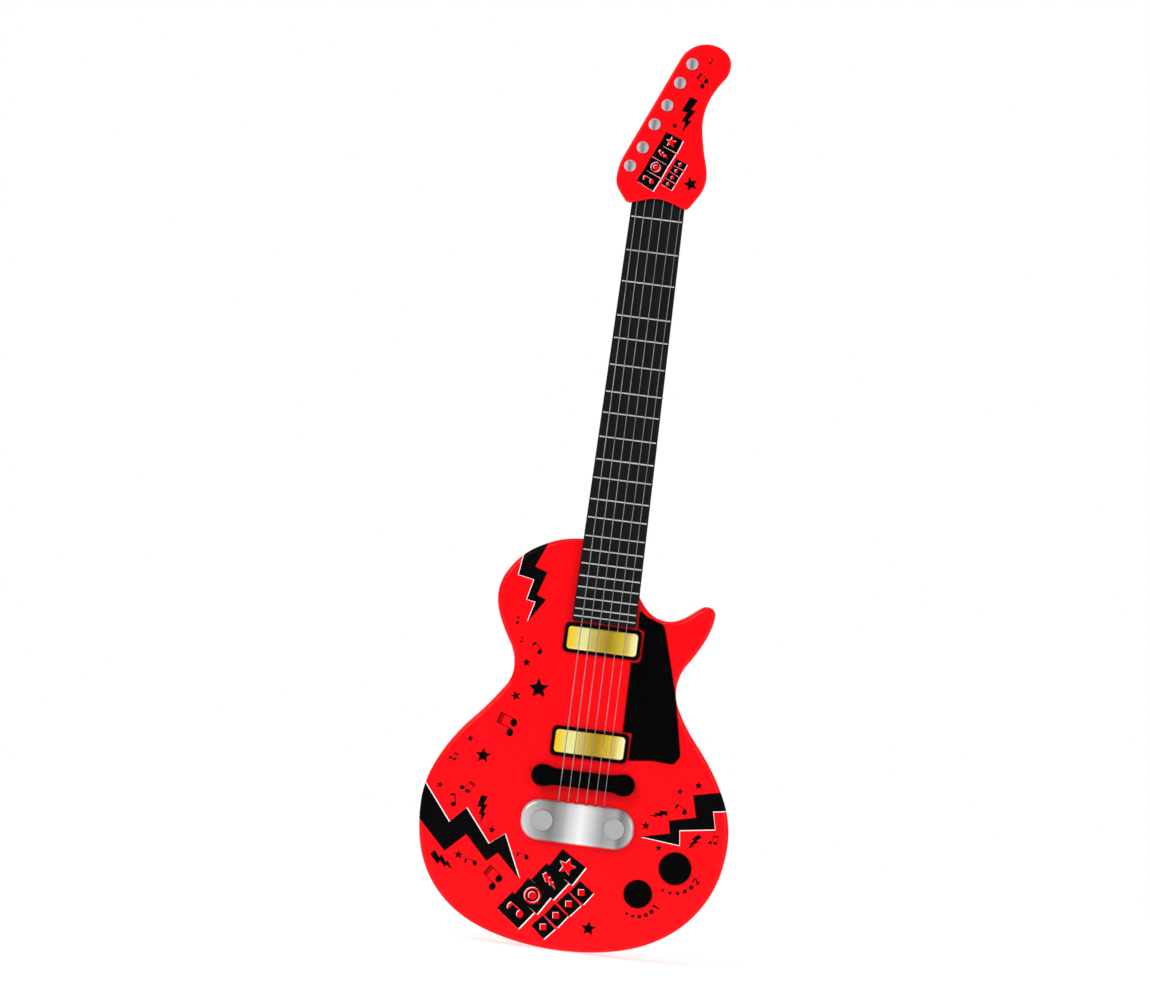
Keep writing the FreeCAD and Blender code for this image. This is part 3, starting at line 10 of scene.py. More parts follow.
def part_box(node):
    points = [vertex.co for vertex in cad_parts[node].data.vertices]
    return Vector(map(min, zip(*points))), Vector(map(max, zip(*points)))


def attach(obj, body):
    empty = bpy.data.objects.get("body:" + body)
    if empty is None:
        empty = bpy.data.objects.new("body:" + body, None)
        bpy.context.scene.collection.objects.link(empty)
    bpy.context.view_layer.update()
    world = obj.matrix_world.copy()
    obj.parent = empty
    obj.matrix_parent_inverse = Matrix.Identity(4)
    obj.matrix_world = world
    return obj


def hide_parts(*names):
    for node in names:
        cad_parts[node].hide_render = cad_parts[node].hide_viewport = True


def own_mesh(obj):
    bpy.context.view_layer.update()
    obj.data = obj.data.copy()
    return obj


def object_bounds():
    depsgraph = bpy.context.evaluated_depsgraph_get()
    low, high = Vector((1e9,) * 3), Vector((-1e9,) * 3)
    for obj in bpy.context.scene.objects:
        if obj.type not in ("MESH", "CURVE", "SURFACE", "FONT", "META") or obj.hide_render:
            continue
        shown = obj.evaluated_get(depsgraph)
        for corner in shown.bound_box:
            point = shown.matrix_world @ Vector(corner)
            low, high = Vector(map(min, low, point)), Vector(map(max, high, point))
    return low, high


# The looks of a toy electric guitar: materials for its CAD nodes, stickers, the return springs as copies of
# their nodes, and a studio. Blender works in metres. Sticker outlines are in millimetres, as (x, z) on the
# front of the guitar, with z = 0 at the nut. The front faces -y.

MM = 0.001
BODY = "guitar"
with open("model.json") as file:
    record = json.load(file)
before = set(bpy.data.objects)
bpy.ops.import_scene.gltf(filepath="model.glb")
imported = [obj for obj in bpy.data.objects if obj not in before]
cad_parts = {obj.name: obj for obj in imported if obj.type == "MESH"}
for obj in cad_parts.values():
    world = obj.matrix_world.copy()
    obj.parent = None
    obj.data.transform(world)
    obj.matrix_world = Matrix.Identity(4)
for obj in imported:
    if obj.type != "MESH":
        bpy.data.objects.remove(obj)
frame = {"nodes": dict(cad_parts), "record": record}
cad_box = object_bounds()
NODES = frame["nodes"]
SLOT_OF = {row["node"]: row["material_slot"] for row in frame["record"]["subparts"]}

# Framing: the picture is 1150 pixels wide, and one of them is PIXEL_MM at the guitar's front. CAMERA_AIM
# is the picture's middle in mm, LEAN is how far the guitar leans to the right in it, and
# CAMERA_DISTANCE is in metres.
FRAME_WIDTH = 1150
PIXEL_MM = 0.69715
LEAN = math.radians(7.387)
CAMERA_AIM = (-31.1, -212.8)
CAMERA_DISTANCE = 6.0
SENSOR_MM = 36.0

# Noise textures mostly stay between these two values, so drifts are spread over this range.
NOISE_LOW = 0.3
NOISE_HIGH = 0.7

# How much rougher a scratch is than the metal round it, and the pitch of the wound strings in mm.
SCRATCH_ROUGHNESS = 0.12
STRING_PITCH = 0.35


# ---------------------------------------------------------------- materials

def linear(red, green, blue):
    """A screen colour with parts from 0 to 255, as amounts of light."""
    shares = [value / 255 for value in (red, green, blue)]
    return tuple(v / 12.92 if v <= 0.04045 else ((v + 0.055) / 1.055) ** 2.4 for v in shares)


class Finish:
    """One procedural material: a Principled shader whose colour, roughness and bump vary on the surface."""

    def __init__(self, name, metallic=0.0, specular=0.5, coat=0.0, coat_rough=0.1):
        self.material = bpy.data.materials.new(name)
        self.material.use_nodes = True
        self.nodes = self.material.node_tree.nodes
        self.links = self.material.node_tree.links
        self.shader = self.nodes["Principled BSDF"]
        self.shader.inputs["Metallic"].default_value = metallic
        self.shader.inputs["Specular IOR Level"].default_value = specular
        self.shader.inputs["Coat Weight"].default_value = coat
        self.shader.inputs["Coat Roughness"].default_value = coat_rough
        coordinates = self.nodes.new("ShaderNodeTexCoord")
        self.place = coordinates.outputs["Object"]
        self.share = coordinates.outputs["Generated"]

    def grain(self, size, stretch=(1, 1, 1), detail=2.0):
        """Noise with features about size mm across, and longer along an axis whose stretch is over 1."""
        mapping = self.nodes.new("ShaderNodeMapping")
        mapping.inputs["Scale"].default_value = [1000 / size / factor for factor in stretch]
        self.links.new(self.place, mapping.inputs["Vector"])
        noise = self.nodes.new("ShaderNodeTexNoise")
        noise.inputs["Scale"].default_value = 1.0
        noise.inputs["Detail"].default_value = detail
        self.links.new(mapping.outputs["Vector"], noise.inputs["Vector"])
        return noise.outputs["Fac"]

    def cracks(self, size, width):
        """Thin lines between cells about size mm across: 1 on a line and 0 away from it."""
        mapping = self.nodes.new("ShaderNodeMapping")
        mapping.inputs["Scale"].default_value = [1000 / size] * 3
        self.links.new(self.place, mapping.inputs["Vector"])
        cells = self.nodes.new("ShaderNodeTexVoronoi")
        cells.feature = "DISTANCE_TO_EDGE"
        cells.inputs["Scale"].default_value = 1.0
        self.links.new(mapping.outputs["Vector"], cells.inputs["Vector"])
        return self.spread(cells.outputs["Distance"], 1.0, 0.0, 0.0, width)

    def along(self, axis, source=None):
        """One coordinate of the surface, 0, 1 or 2 for x, y or z."""
        split = self.nodes.new("ShaderNodeSeparateXYZ")
        self.links.new(source or self.place, split.inputs[0])
        return split.outputs[axis]

    def spread(self, value, low, high, start=NOISE_LOW, end=NOISE_HIGH):
        """The value's range from start to end, as a range from low to high."""
        node = self.nodes.new("ShaderNodeMapRange")
        node.inputs["From Min"].default_value = start
        node.inputs["From Max"].default_value = end
        node.inputs["To Min"].default_value = low
        node.inputs["To Max"].default_value = high
        self.links.new(value, node.inputs["Value"])
        return node.outputs["Result"]

    def combine(self, operation, first, second):
        """The result of a math operation on two numbers or sockets."""
        node = self.nodes.new("ShaderNodeMath")
        node.operation = operation
        for socket, value in zip(node.inputs, (first, second)):
            if isinstance(value, (int, float)):
                socket.default_value = value
            else:
                self.links.new(value, socket)
        return node.outputs[0]

    def ramp(self, value, stops):
        """Colours at the given places from 0 to 1, blended between them."""
        node = self.nodes.new("ShaderNodeValToRGB")
        bar = node.color_ramp.elements
        while len(bar) < len(stops):
            bar.new(0.5)
        for element, (place, colour) in zip(bar, sorted(stops)):
            element.position = place
            element.color = (*colour, 1.0)
        self.links.new(value, node.inputs["Fac"])
        return node.outputs["Color"]

    def paint(self, colour):
        """Base colour from a colour socket."""
        self.links.new(colour, self.shader.inputs["Base Color"])
        return self

    def tint(self, dark, light, size, stretch=(1, 1, 1), detail=3.0):
        """Base colour that drifts between two tones."""
        stops = ((NOISE_LOW, dark), (NOISE_HIGH, light))
        return self.paint(self.ramp(self.grain(size, stretch, detail), stops))

    def rough(self, low, high, size, stretch=(1, 1, 1), scratches=None):
        """Roughness that drifts between two values. Scratches are given as cell size in mm and width."""
        value = self.spread(self.grain(size, stretch, 4.0), low, high)
        if scratches:
            scratch = self.combine("MULTIPLY", self.cracks(*scratches), SCRATCH_ROUGHNESS)
            value = self.combine("ADD", value, scratch)
        self.links.new(value, self.shader.inputs["Roughness"])
        return self

    def bump(self, *layers):
        """Bumps from (height socket, depth in mm) pairs, laid over each other."""
        normal = None
        for height, depth in layers:
            node = self.nodes.new("ShaderNodeBump")
            node.inputs["Distance"].default_value = depth * MM
            self.links.new(height, node.inputs["Height"])
            if normal:
                self.links.new(normal, node.inputs["Normal"])
            normal = node.outputs["Normal"]
        self.links.new(normal, self.shader.inputs["Normal"])
        return self


def gloss_shell(name, colour, shade):
    """Polished moulded ABS: a faint orange peel and a slight cloudiness."""
    look = Finish(name, specular=0.12, coat=0.02, coat_rough=0.08)
    look.tint(shade, colour, 60.0)
    look.rough(0.26, 0.31, 30.0)
    return look.bump((look.grain(5.0), 0.005), (look.grain(0.6), 0.001)).material


def satin_plastic(name, dark, light, rough, texture=0.35, depth=0.02, specular=0.10):
    """Spark-eroded plastic with a fine even texture."""
    look = Finish(name, specular=specular)
    look.tint(dark, light, 9.0)
    look.rough(rough - 0.06, rough + 0.06, 4.0)
    return look.bump((look.grain(texture, detail=3.0), depth), (look.grain(8.0), 0.008)).material


def board_plastic(name):
    """Dark moulded plastic with a shallow wood grain along the neck."""
    look = Finish(name, specular=0.10)
    look.tint(linear(14, 14, 15), linear(22, 22, 23), 1.6, stretch=(1, 1, 28), detail=5.0)
    look.rough(0.42, 0.56, 1.0, stretch=(1, 1, 20))
    return look.bump((look.grain(0.5, stretch=(1, 1, 24), detail=4.0), 0.03)).material


def metal_with_painted_reflection(name, stops, metallic, low, high):
    """Metallised plastic with painted reflections: bands of painted highlight and shade from one side of
    the part to the other.
    """
    look = Finish(name, metallic=metallic, specular=0.35)
    streak = look.spread(look.grain(0.5, stretch=(1, 1, 60)), -0.0005, 0.0005)
    # Painted reflection: the ramp puts bands of highlight and shade into the base colour.
    look.paint(look.ramp(look.combine("ADD", look.along(0, look.share), streak), stops))
    look.rough(low, high, 0.4, stretch=(1, 1, 50), scratches=(17.0, 0.003))
    return look.bump((look.grain(0.3, stretch=(1, 1, 60)), 0.0002), (look.grain(7.0), 0.002)).material


def bare_metal(name, dark, light, low, high, size=0.6, stretch=(1, 1, 1), depth=0.01, metallic=1.0):
    """Plated or bare metal with a fine rolled or drawn surface."""
    look = Finish(name, metallic=metallic, specular=0.5)
    look.tint(dark, light, size * 5, stretch)
    look.rough(low, high, size, stretch)
    return look.bump((look.grain(size * 0.5, stretch), depth)).material


def wound_string(name):
    """Steel wire with fine winding ridges, one turn in STRING_PITCH mm."""
    look = Finish(name, metallic=0.75, specular=0.5)
    look.tint(linear(116, 116, 118), linear(160, 160, 162), 3.0, stretch=(1, 1, 4))
    look.rough(0.28, 0.4, 0.6)
    turns = look.combine("MULTIPLY", look.along(2), 2 * math.pi / (STRING_PITCH * MM))
    return look.bump((look.combine("SINE", turns, 0.0), 0.02)).material


def cell_sleeve(name):
    """A printed sleeve: a blue barrel with a copper-coloured end band."""
    look = Finish(name, metallic=0.3, specular=0.5, coat=0.3, coat_rough=0.15)
    stops = ((0.0, linear(176, 112, 60)), (0.24, linear(182, 118, 64)), (0.26, linear(22, 42, 96)),
             (1.0, linear(26, 48, 104)))
    look.paint(look.ramp(look.along(0, look.share), stops))
    look.rough(0.25, 0.38, 2.0)
    return look.bump((look.grain(1.2), 0.01)).material


def circuit_mask(name):
    """Green solder mask with a faint net of tracks under it."""
    look = Finish(name, specular=0.5, coat=0.3, coat_rough=0.2)
    look.paint(look.ramp(look.cracks(4.0, 0.10), ((0.0, linear(18, 84, 44)), (1.0, linear(42, 122, 66)))))
    look.rough(0.3, 0.45, 1.5)
    return look.bump((look.cracks(4.0, 0.12), 0.03)).material


def vinyl(name, dark, light):
    """Printed vinyl film, smooth with the shell's faint peel showing through."""
    look = Finish(name, specular=0.04)
    look.tint(dark, light, 5.0)
    look.rough(0.3, 0.42, 3.0)
    return look.bump((look.grain(5.0), 0.006), (look.grain(0.25), 0.002)).material


def grey(value):
    """A neutral screen colour from 0 to 255, as amounts of light."""
    return linear(value, value, value)


# Painted reflections on the plated parts: bands of painted highlight and shade, from each part's left side
# to its right.
GOLD_PAINTED_REFLECTION = (
    (0.00, linear(250, 207, 34)), (0.07, linear(254, 219, 60)), (0.14, linear(246, 230, 116)),
    (0.20, linear(253, 250, 170)), (0.27, linear(253, 251, 168)), (0.33, linear(222, 208, 112)),
    (0.46, linear(206, 176, 62)), (0.58, linear(180, 147, 18)), (0.65, linear(199, 163, 16)),
    (0.78, linear(224, 200, 50)), (0.85, linear(214, 190, 92)), (0.92, linear(250, 240, 152)),
    (1.00, linear(255, 250, 186)),
)
SILVER_PAINTED_REFLECTION = (
    (0.00, grey(218)), (0.07, grey(192)), (0.13, grey(172)), (0.22, grey(142)), (0.27, grey(130)),
    (0.32, grey(152)), (0.37, grey(172)), (0.42, grey(208)), (0.53, grey(246)), (0.60, grey(220)),
    (0.68, grey(182)), (0.73, grey(160)), (0.83, grey(172)), (0.88, grey(122)), (0.94, grey(160)),
    (1.00, grey(205)),
)
TUNER_PAINTED_REFLECTION = (
    (0.00, linear(236, 226, 228)), (0.24, linear(196, 184, 188)), (0.46, linear(132, 128, 144)),
    (0.58, linear(148, 150, 156)), (0.80, linear(196, 198, 196)), (1.00, linear(222, 218, 218)),
)

RED = linear(255, 2, 16)
RED_SHADE = linear(249, 1, 13)

LOOKS = {
    "red_shell": gloss_shell("red_shell_gloss", RED, RED_SHADE),
    "door_red": gloss_shell("door_red_gloss", RED, RED_SHADE),
    "black_plate": satin_plastic("black_plate_satin", grey(1), grey(4), 0.36, 0.5, 0.006, 0.03),
    # The gold covers' base colour holds painted reflections: bands of painted highlight and shade.
    "gold_cover": metal_with_painted_reflection("gold_cover_painted_reflection", GOLD_PAINTED_REFLECTION, 0.35, 0.26, 0.31),
    "black_bridge": satin_plastic("black_bridge_satin", grey(1), grey(4), 0.38, specular=0.03),
    # The silver cover's base colour holds painted reflections: a painted bright band in the middle and
    # darker bands beside it.
    "silver_cover": metal_with_painted_reflection("silver_cover_painted_reflection", SILVER_PAINTED_REFLECTION, 0.35, 0.28, 0.30),
    "grey_stud": bare_metal("grey_stud_satin", grey(164), grey(170), 0.44, 0.5, depth=0.004, metallic=0.2),
    # The tuner caps' base colour holds painted reflections: painted highlight at the sides and painted
    # shade in the middle.
    "tuner_silver": metal_with_painted_reflection("tuner_silver_painted_reflection", TUNER_PAINTED_REFLECTION, 0.35, 0.26, 0.38),
    "string_steel": wound_string("string_steel_wound"),
    "zinc_bar": bare_metal("zinc_bar_cast", grey(140), grey(176), 0.4, 0.6, 1.2, depth=0.03),
    "nut_plastic": satin_plastic("nut_plastic_matte", linear(214, 208, 190), linear(232, 227, 212), 0.5),
    "fretboard_black": board_plastic("fretboard_grained"),
    "fret_silver": bare_metal("fret_silver_bright", grey(196), grey(228), 0.22, 0.32, 0.5, (20, 1, 1),
                              0.004, 0.7),
    "neck_black": satin_plastic("neck_black_satin", grey(14), grey(24), 0.42),
    "screw_steel": bare_metal("screw_steel_plated", grey(130), grey(180), 0.25, 0.42),
    "circuit_green": circuit_mask("circuit_green_mask"),
    "chip_epoxy": satin_plastic("chip_epoxy_blob", grey(6), grey(16), 0.25, 2.0, 0.05),
    "switch_black": satin_plastic("switch_black_matte", grey(26), grey(42), 0.5),
    "plunger_plastic": satin_plastic("plunger_plastic_matte", grey(30), grey(48), 0.5),
    "spring_steel": bare_metal("spring_steel_drawn", grey(150), grey(200), 0.2, 0.34),
    "speaker_frame": bare_metal("speaker_frame_plated", grey(120), grey(165), 0.3, 0.45, 0.8),
    "magnet_black": satin_plastic("magnet_ferrite", grey(30), grey(49), 0.6, 0.8, 0.04),
    "cone_paper": satin_plastic("cone_paper_pressed", grey(22), linear(40, 38, 36), 0.75, 0.6, 0.06),
    "tray_plastic": satin_plastic("tray_plastic_matte", grey(26), grey(40), 0.5),
    "cell_case": cell_sleeve("cell_case_printed"),
    "contact_plate": bare_metal("contact_plate_nickel", grey(165), grey(205), 0.2, 0.35),
    "wire_cover": satin_plastic("wire_cover_soft", linear(150, 16, 18), linear(176, 24, 24), 0.45, 0.3,
                                0.01),
}
STICKER_BLACK = vinyl("sticker_black_film", grey(1), grey(6))
STICKER_WHITE = vinyl("sticker_white_film", grey(236), grey(250))
STICKER_RED = vinyl("sticker_red_film", RED_SHADE, RED)


def dress_nodes():
    """Gives every CAD node the material of its slot."""
    for name, node in NODES.items():
        if not node.material_slots:
            node.data.materials.append(LOOKS[SLOT_OF[name]])
        for holder in node.material_slots:
            holder.material = LOOKS[SLOT_OF[name]]


# ---------------------------------------------------------------- stickers

# In mm: the step of the grid that cuts large outlines so that they can bend, the span over which an
# outline counts as large, and the thickness of a film.
EDGE_CELL = 0.5
LARGE_SPAN = 45.0
FILM_THICK = 0.05

# In metres: how far in front of a surface the search for it starts, how far it goes, and how far behind
# the front the nearest spot is looked for when it finds nothing.
SEARCH_START = 0.03
SEARCH_LENGTH = 0.045
SEARCH_BEHIND = 0.002

# Inner radius of a star as a share of its outer one. Small stars have thinner points.
STAR_WAIST = 0.46
SMALL_STAR_WAIST = 0.40
SMALL_STAR_RADIUS = 4.0


def reaches_edge(outline):
    """Whether an outline is one of the large ones that run over the body's rounded edge."""
    spans = [max(part) - min(part) for part in zip(*outline)]
    return max(spans) > LARGE_SPAN


def moved(points, dx, dz):
    """Points carried sideways and up."""
    return [(x + dx, z + dz) for x, z in points]


def turned(points, degrees, x0=0.0, z0=0.0, scale=1.0):
    """Points drawn round the origin, turned, scaled and carried to (x0, z0)."""
    c = math.cos(math.radians(degrees)) * scale
    s = math.sin(math.radians(degrees)) * scale
    return [(x0 + x * c - z * s, z0 + x * s + z * c) for x, z in points]


def star(x, z, radius, degrees=0.0):
    """A star with five points, the first one up."""
    waist = radius * (STAR_WAIST if radius > SMALL_STAR_RADIUS else SMALL_STAR_WAIST)
    points = []
    for step in range(10):
        angle = math.radians(90 + 36 * step)
        reach = radius if step % 2 == 0 else waist
        points.append((reach * math.cos(angle), reach * math.sin(angle)))
    return turned(points, degrees, x, z)


def disc(x, z, radius, squeeze=1.0, degrees=0.0, count=20):
    """A disc, squeezed along z and then turned."""
    points = []
    for step in range(count):
        angle = 2 * math.pi * step / count
        points.append((radius * math.cos(angle), radius * squeeze * math.sin(angle)))
    return turned(points, degrees, x, z)


def bar(x1, z1, x2, z2, width):
    """A straight bar with square ends between two points."""
    length = math.hypot(x2 - x1, z2 - z1)
    ax, az = (z2 - z1) / length * width / 2, (x1 - x2) / length * width / 2
    return [(x1 + ax, z1 + az), (x2 + ax, z2 + az), (x2 - ax, z2 - az), (x1 - ax, z1 - az)]


def small_bolt(x, z, length, degrees):
    """A three-step zigzag, drawn pointing down."""
    outline = ((-0.06, 0.5), (0.17, 0.46), (0.04, 0.16), (0.18, 0.16), (0.03, -0.14), (0.13, -0.15),
               (-0.06, -0.5), (-0.03, -0.22), (-0.14, -0.2), (-0.04, 0.06), (-0.2, 0.07))
    return turned(outline, degrees, x, z, length)


def note_pair(x, z, size, degrees):
    """Two note heads with stems and a triple beam."""
    shapes = [disc(-0.30, -0.40, 0.21, 0.88, 20), disc(0.26, -0.35, 0.21, 0.88, 20),
              bar(-0.11, -0.38, -0.11, 0.46, 0.04), bar(0.45, -0.33, 0.45, 0.51, 0.04),
              bar(-0.13, 0.45, 0.47, 0.50, 0.07), bar(-0.13, 0.35, 0.47, 0.40, 0.05),
              bar(-0.13, 0.26, 0.47, 0.31, 0.04)]
    return [turned(shape, degrees, x, z, size) for shape in shapes]


def note_single(x, z, size, degrees):
    """One note head with a stem and a short flag at its left."""
    shapes = [disc(0.0, -0.36, 0.22, 0.85, 20), bar(0.18, -0.36, 0.18, 0.46, 0.06),
              [(0.20, 0.50), (0.02, 0.54), (-0.20, 0.46), (-0.24, 0.38), (-0.02, 0.34), (0.17, 0.38)]]
    return [turned(shape, degrees, x, z, size) for shape in shapes]


def ring_piece(radius, width, count=28):
    """A ring round the origin, as short bars that overlap a little."""
    shapes = []
    for step in range(count):
        first = 2 * math.pi * step / count
        second = 2 * math.pi * (step + 1.15) / count
        shapes.append(bar(radius * math.cos(first), radius * math.sin(first),
                          radius * math.cos(second), radius * math.sin(second), width))
    return shapes


# Each large bolt: its outline, and how far its white underlay is moved.
LARGE_BOLTS = (
    ([(-61.5, -256.0), (-58.6, -251.5), (-52.0, -247.5), (-45.5, -245.0), (-52.6, -262.4), (-43.6, -265.3),
      (-48.9, -281.9), (-42.1, -284.3), (-52.9, -301.0), (-49.3, -286.7), (-55.4, -285.7), (-52.1, -271.4),
      (-63.3, -269.3)], (-0.6, -0.25)),
    ([(-111.0, -419.5), (-89.3, -446.7), (-78.6, -435.4), (-60.0, -458.3), (-49.6, -450.0), (-35.7, -480.0),
      (-52.9, -463.6), (-60.0, -470.4), (-76.4, -453.6), (-90.0, -467.1), (-112.0, -445.0)], (0.5, 0.55)),
    ([(96.5, -402.0), (77.1, -406.4), (81.0, -421.7), (62.6, -426.1), (64.3, -435.0), (44.3, -439.6),
      (72.0, -442.2), (70.7, -431.8), (95.3, -428.1), (92.3, -415.9), (104.0, -414.0)], (0.45, -0.6)),
)
# Place, size and turn in degrees of the small signs.
BODY_STARS = (
    (-39.3, -346.4, 7.4, 5), (-71.7, -397.6, 5.6, 0), (16.6, -508.0, 5.4, 0), (-50.0, -329.5, 3.3, 10),
    (-54.5, -353.5, 3.8, 20), (-82.0, -387.0, 2.6, 0), (-99.0, -421.7, 2.6, 0), (-59.0, -448.3, 2.9, 0),
    (-80.0, -468.5, 3.3, 0), (80.0, -399.3, 3.1, 0), (67.7, -405.0, 2.6, 0), (47.0, -431.8, 3.3, 0),
    (58.0, -446.0, 2.6, 0),
)
BODY_SMALL_BOLTS = ((-67.4, -434.5, 19.0, 5), (-90.6, -474.1, 19.0, 62), (55.1, -422.7, 12.5, -70),
                    (81.8, -439.0, 13.0, -32))
BODY_NOTE_PAIRS = ((-58.9, -373.9, 13.0, 70), (-55.3, -481.4, 12.6, 52), (-79.7, -420.1, 8.0, -32),
                   (-91.9, -400.5, 5.4, -22), (95.2, -435.4, 6.2, -5))
BODY_NOTE_SINGLES = ((-43.8, -318.6, 8.5, 40), (-55.5, -314.0, 4.0, 0), (-60.0, -301.0, 5.0, 0),
                     (-88.5, -430.9, 8.5, 10), (-35.5, -463.6, 8.0, 80), (-70.8, -472.5, 8.5, 80),
                     (70.0, -417.4, 8.5, 60))
HEAD_STARS = ((20.5, 15.5, 5.2, 20), (4.3, 54.5, 2.4, 0))
HEAD_BOLTS = ((12.6, 63.0, 25.0, -6),)
HEAD_NOTE_PAIRS = ((18.6, 87.9, 8.0, 54),)
HEAD_NOTE_SINGLES = ((23.5, 102.0, 4.2, -20),)

# A row of tiles: first and last centre, half size across and along, tilt of the row.
BODY_TILES = ((-3.6, -467.3), (-35.6, -501.8), 10.4, 7.9, -33.5)
BODY_STRIP = ((8.6, -483.8), (-14.8, -511.0), 6.4, 5.4, -38.0)
HEAD_TILES = ((3.4, 42.6), (-9.0, 14.6), 6.7, 4.9, -22.5)
HEAD_STRIP = ((11.6, 28.0), (5.0, 13.4), 4.1, 2.4, -23.0)

# How much further each tile of a row is tilted, and how far a tile's white underlay and the white copy of
# its sign are moved, as shares of the row's edge.
TILE_TILTS = (2.5, -2.0, 1.5, -3.0)
UNDER_SHIFT = (1.0, -0.8)
SIGN_SHIFT = (-0.65, 0.5)

# The marks under each button: its node, its digit, and where the arc starts and ends in degrees. Then the
# arc's distance from the button, the number of dots, the first dot's radius and how much each next one
# grows, and the width and scale of a digit's strokes.
LABELS = (("mode_1_button", 1, -112, -28), ("mode_2_button", 2, -112, -24))
LABEL_GAP = 4.6
LABEL_DOTS = 5
DOT_RADIUS = 1.0
DOT_GROWTH = 0.14
STROKE_WIDTH = 0.9
DIGIT_SCALE = 1.1
DIGIT_STROKES = {
    1: ((-1.1, 1.1, 0.2, 2.1), (0.0, 2.2, 0.0, -2.2)),
    2: ((-1.3, 1.3, -0.6, 2.0), (-0.7, 2.0, 0.7, 2.0), (0.6, 2.0, 1.3, 1.3), (1.3, 1.4, 1.1, 0.3),
        (1.2, 0.5, -1.3, -1.9), (-1.4, -1.9, 1.4, -1.9)),
}


class Layers:
    """Sticker outlines for one surface, kept apart by colour and order."""

    def __init__(self):
        self.under = []
        self.black = []
        self.edge = []
        self.red = []


def add_tile_row(layers, row, signs, edge):
    """Four tilted tiles with a light edge along the lower right, each with a generic sign."""
    (x1, z1), (x2, z2), half_wide, half_tall, tilt = row
    tile = bar(-half_wide, 0.0, half_wide, 0.0, 2 * half_tall)
    under_dx, under_dz = [edge * share for share in UNDER_SHIFT]
    sign_dx, sign_dz = [edge * share for share in SIGN_SHIFT]
    for number, extra_tilt in enumerate(TILE_TILTS):
        x = x1 + (x2 - x1) * number / 3
        z = z1 + (z2 - z1) * number / 3
        shape = turned(tile, tilt + extra_tilt, x, z)
        layers.under.append(moved(shape, under_dx, under_dz))
        layers.black.append(shape)
        for outline in signs(number, half_tall):
            sign = turned(outline, tilt, x, z)
            layers.edge.append(moved(sign, sign_dx, sign_dz))
            layers.red.append(sign)


def tile_signs(number, reach):
    """A star, a bolt, a disc in a ring and a note, in turn, drawn round the origin."""
    if number == 0:
        return [turned(star(0, 0, reach * 0.80), 90)]
    if number == 1:
        return [turned(small_bolt(0, 0, reach * 1.7, 0), 80)]
    if number == 2:
        return ring_piece(reach * 0.66, reach * 0.14) + [disc(0, 0, reach * 0.36)]
    return [turned(shape, 90) for shape in note_single(0, 0, reach * 1.5, 0)]


def strip_signs(number, reach):
    """A small diamond, for the narrow strip of tiles."""
    return [[(-reach * 0.55, 0.0), (0.0, -reach * 0.55), (reach * 0.55, 0.0), (0.0, reach * 0.55)]]


def label_marks(x, z, radius, start, end, digit):
    """Round marks that grow along an arc under a button, and the button's digit at the end."""
    shapes = []
    for step in range(LABEL_DOTS):
        angle = math.radians(start + (end - start) * step / LABEL_DOTS)
        place = (x + radius * math.cos(angle), z + radius * math.sin(angle))
        shapes.append(disc(*place, DOT_RADIUS + DOT_GROWTH * step))
    angle = math.radians(end)
    place = (x + radius * math.cos(angle), z + radius * math.sin(angle))
    strokes = [bar(*stroke, STROKE_WIDTH) for stroke in DIGIT_STROKES[digit]]
    shapes += [turned(stroke, end + 90, *place, DIGIT_SCALE) for stroke in strokes]
    return shapes


def cell_faces(outline, step):
    """An outline's corners and triangles, cut by a grid of the given step unless it is None."""
    mesh = bmesh.new()
    corners = [mesh.verts.new((x * MM, 0.0, z * MM)) for x, z in outline]
    face = mesh.faces.new(corners)
    face.normal_update()
    if face.normal.y > 0:
        face.normal_flip()
    bmesh.ops.triangulate(mesh, faces=[face])
    for axis in (0, 2) if step else ():
        direction = Vector([float(axis == part) for part in range(3)])
        low = min(vertex.co[axis] for vertex in mesh.verts) / (step * MM)
        high = max(vertex.co[axis] for vertex in mesh.verts) / (step * MM)
        for cut in range(math.ceil(low), math.floor(high) + 1):
            geometry = mesh.verts[:] + mesh.edges[:] + mesh.faces[:]
            bmesh.ops.bisect_plane(mesh, geom=geometry, plane_no=direction,
                                   plane_co=direction * (cut * step * MM))
    mesh.verts.index_update()
    points = [vertex.co.copy() for vertex in mesh.verts]
    faces = [[vertex.index for vertex in face.verts] for face in mesh.faces]
    mesh.free()
    return points, faces


def film(faces, count):
    """Closed faces of a film: a top, a bottom whose points follow the top's count points, and a rim."""
    sides = {(face[i - 1], face[i]) for face in faces for i in range(len(face))}
    bottom = [[index + count for index in reversed(face)] for face in faces]
    rim = [[b, a, a + count, b + count] for a, b in sorted(sides) if (b, a) not in sides]
    return faces + bottom + rim


def laid_on(surface, depth, point):
    """Where a point comes to lie on a surface, the surface's direction there, and whether it is over it."""
    start = Vector((point.x, depth - SEARCH_START, point.z))
    spot, normal, _, _ = surface.ray_cast(start, Vector((0.0, 1.0, 0.0)), SEARCH_LENGTH)
    if spot is not None:
        return spot, normal, True
    spot, normal, _, _ = surface.find_nearest(Vector((point.x, depth + SEARCH_BEHIND, point.z)))
    return spot, normal, False


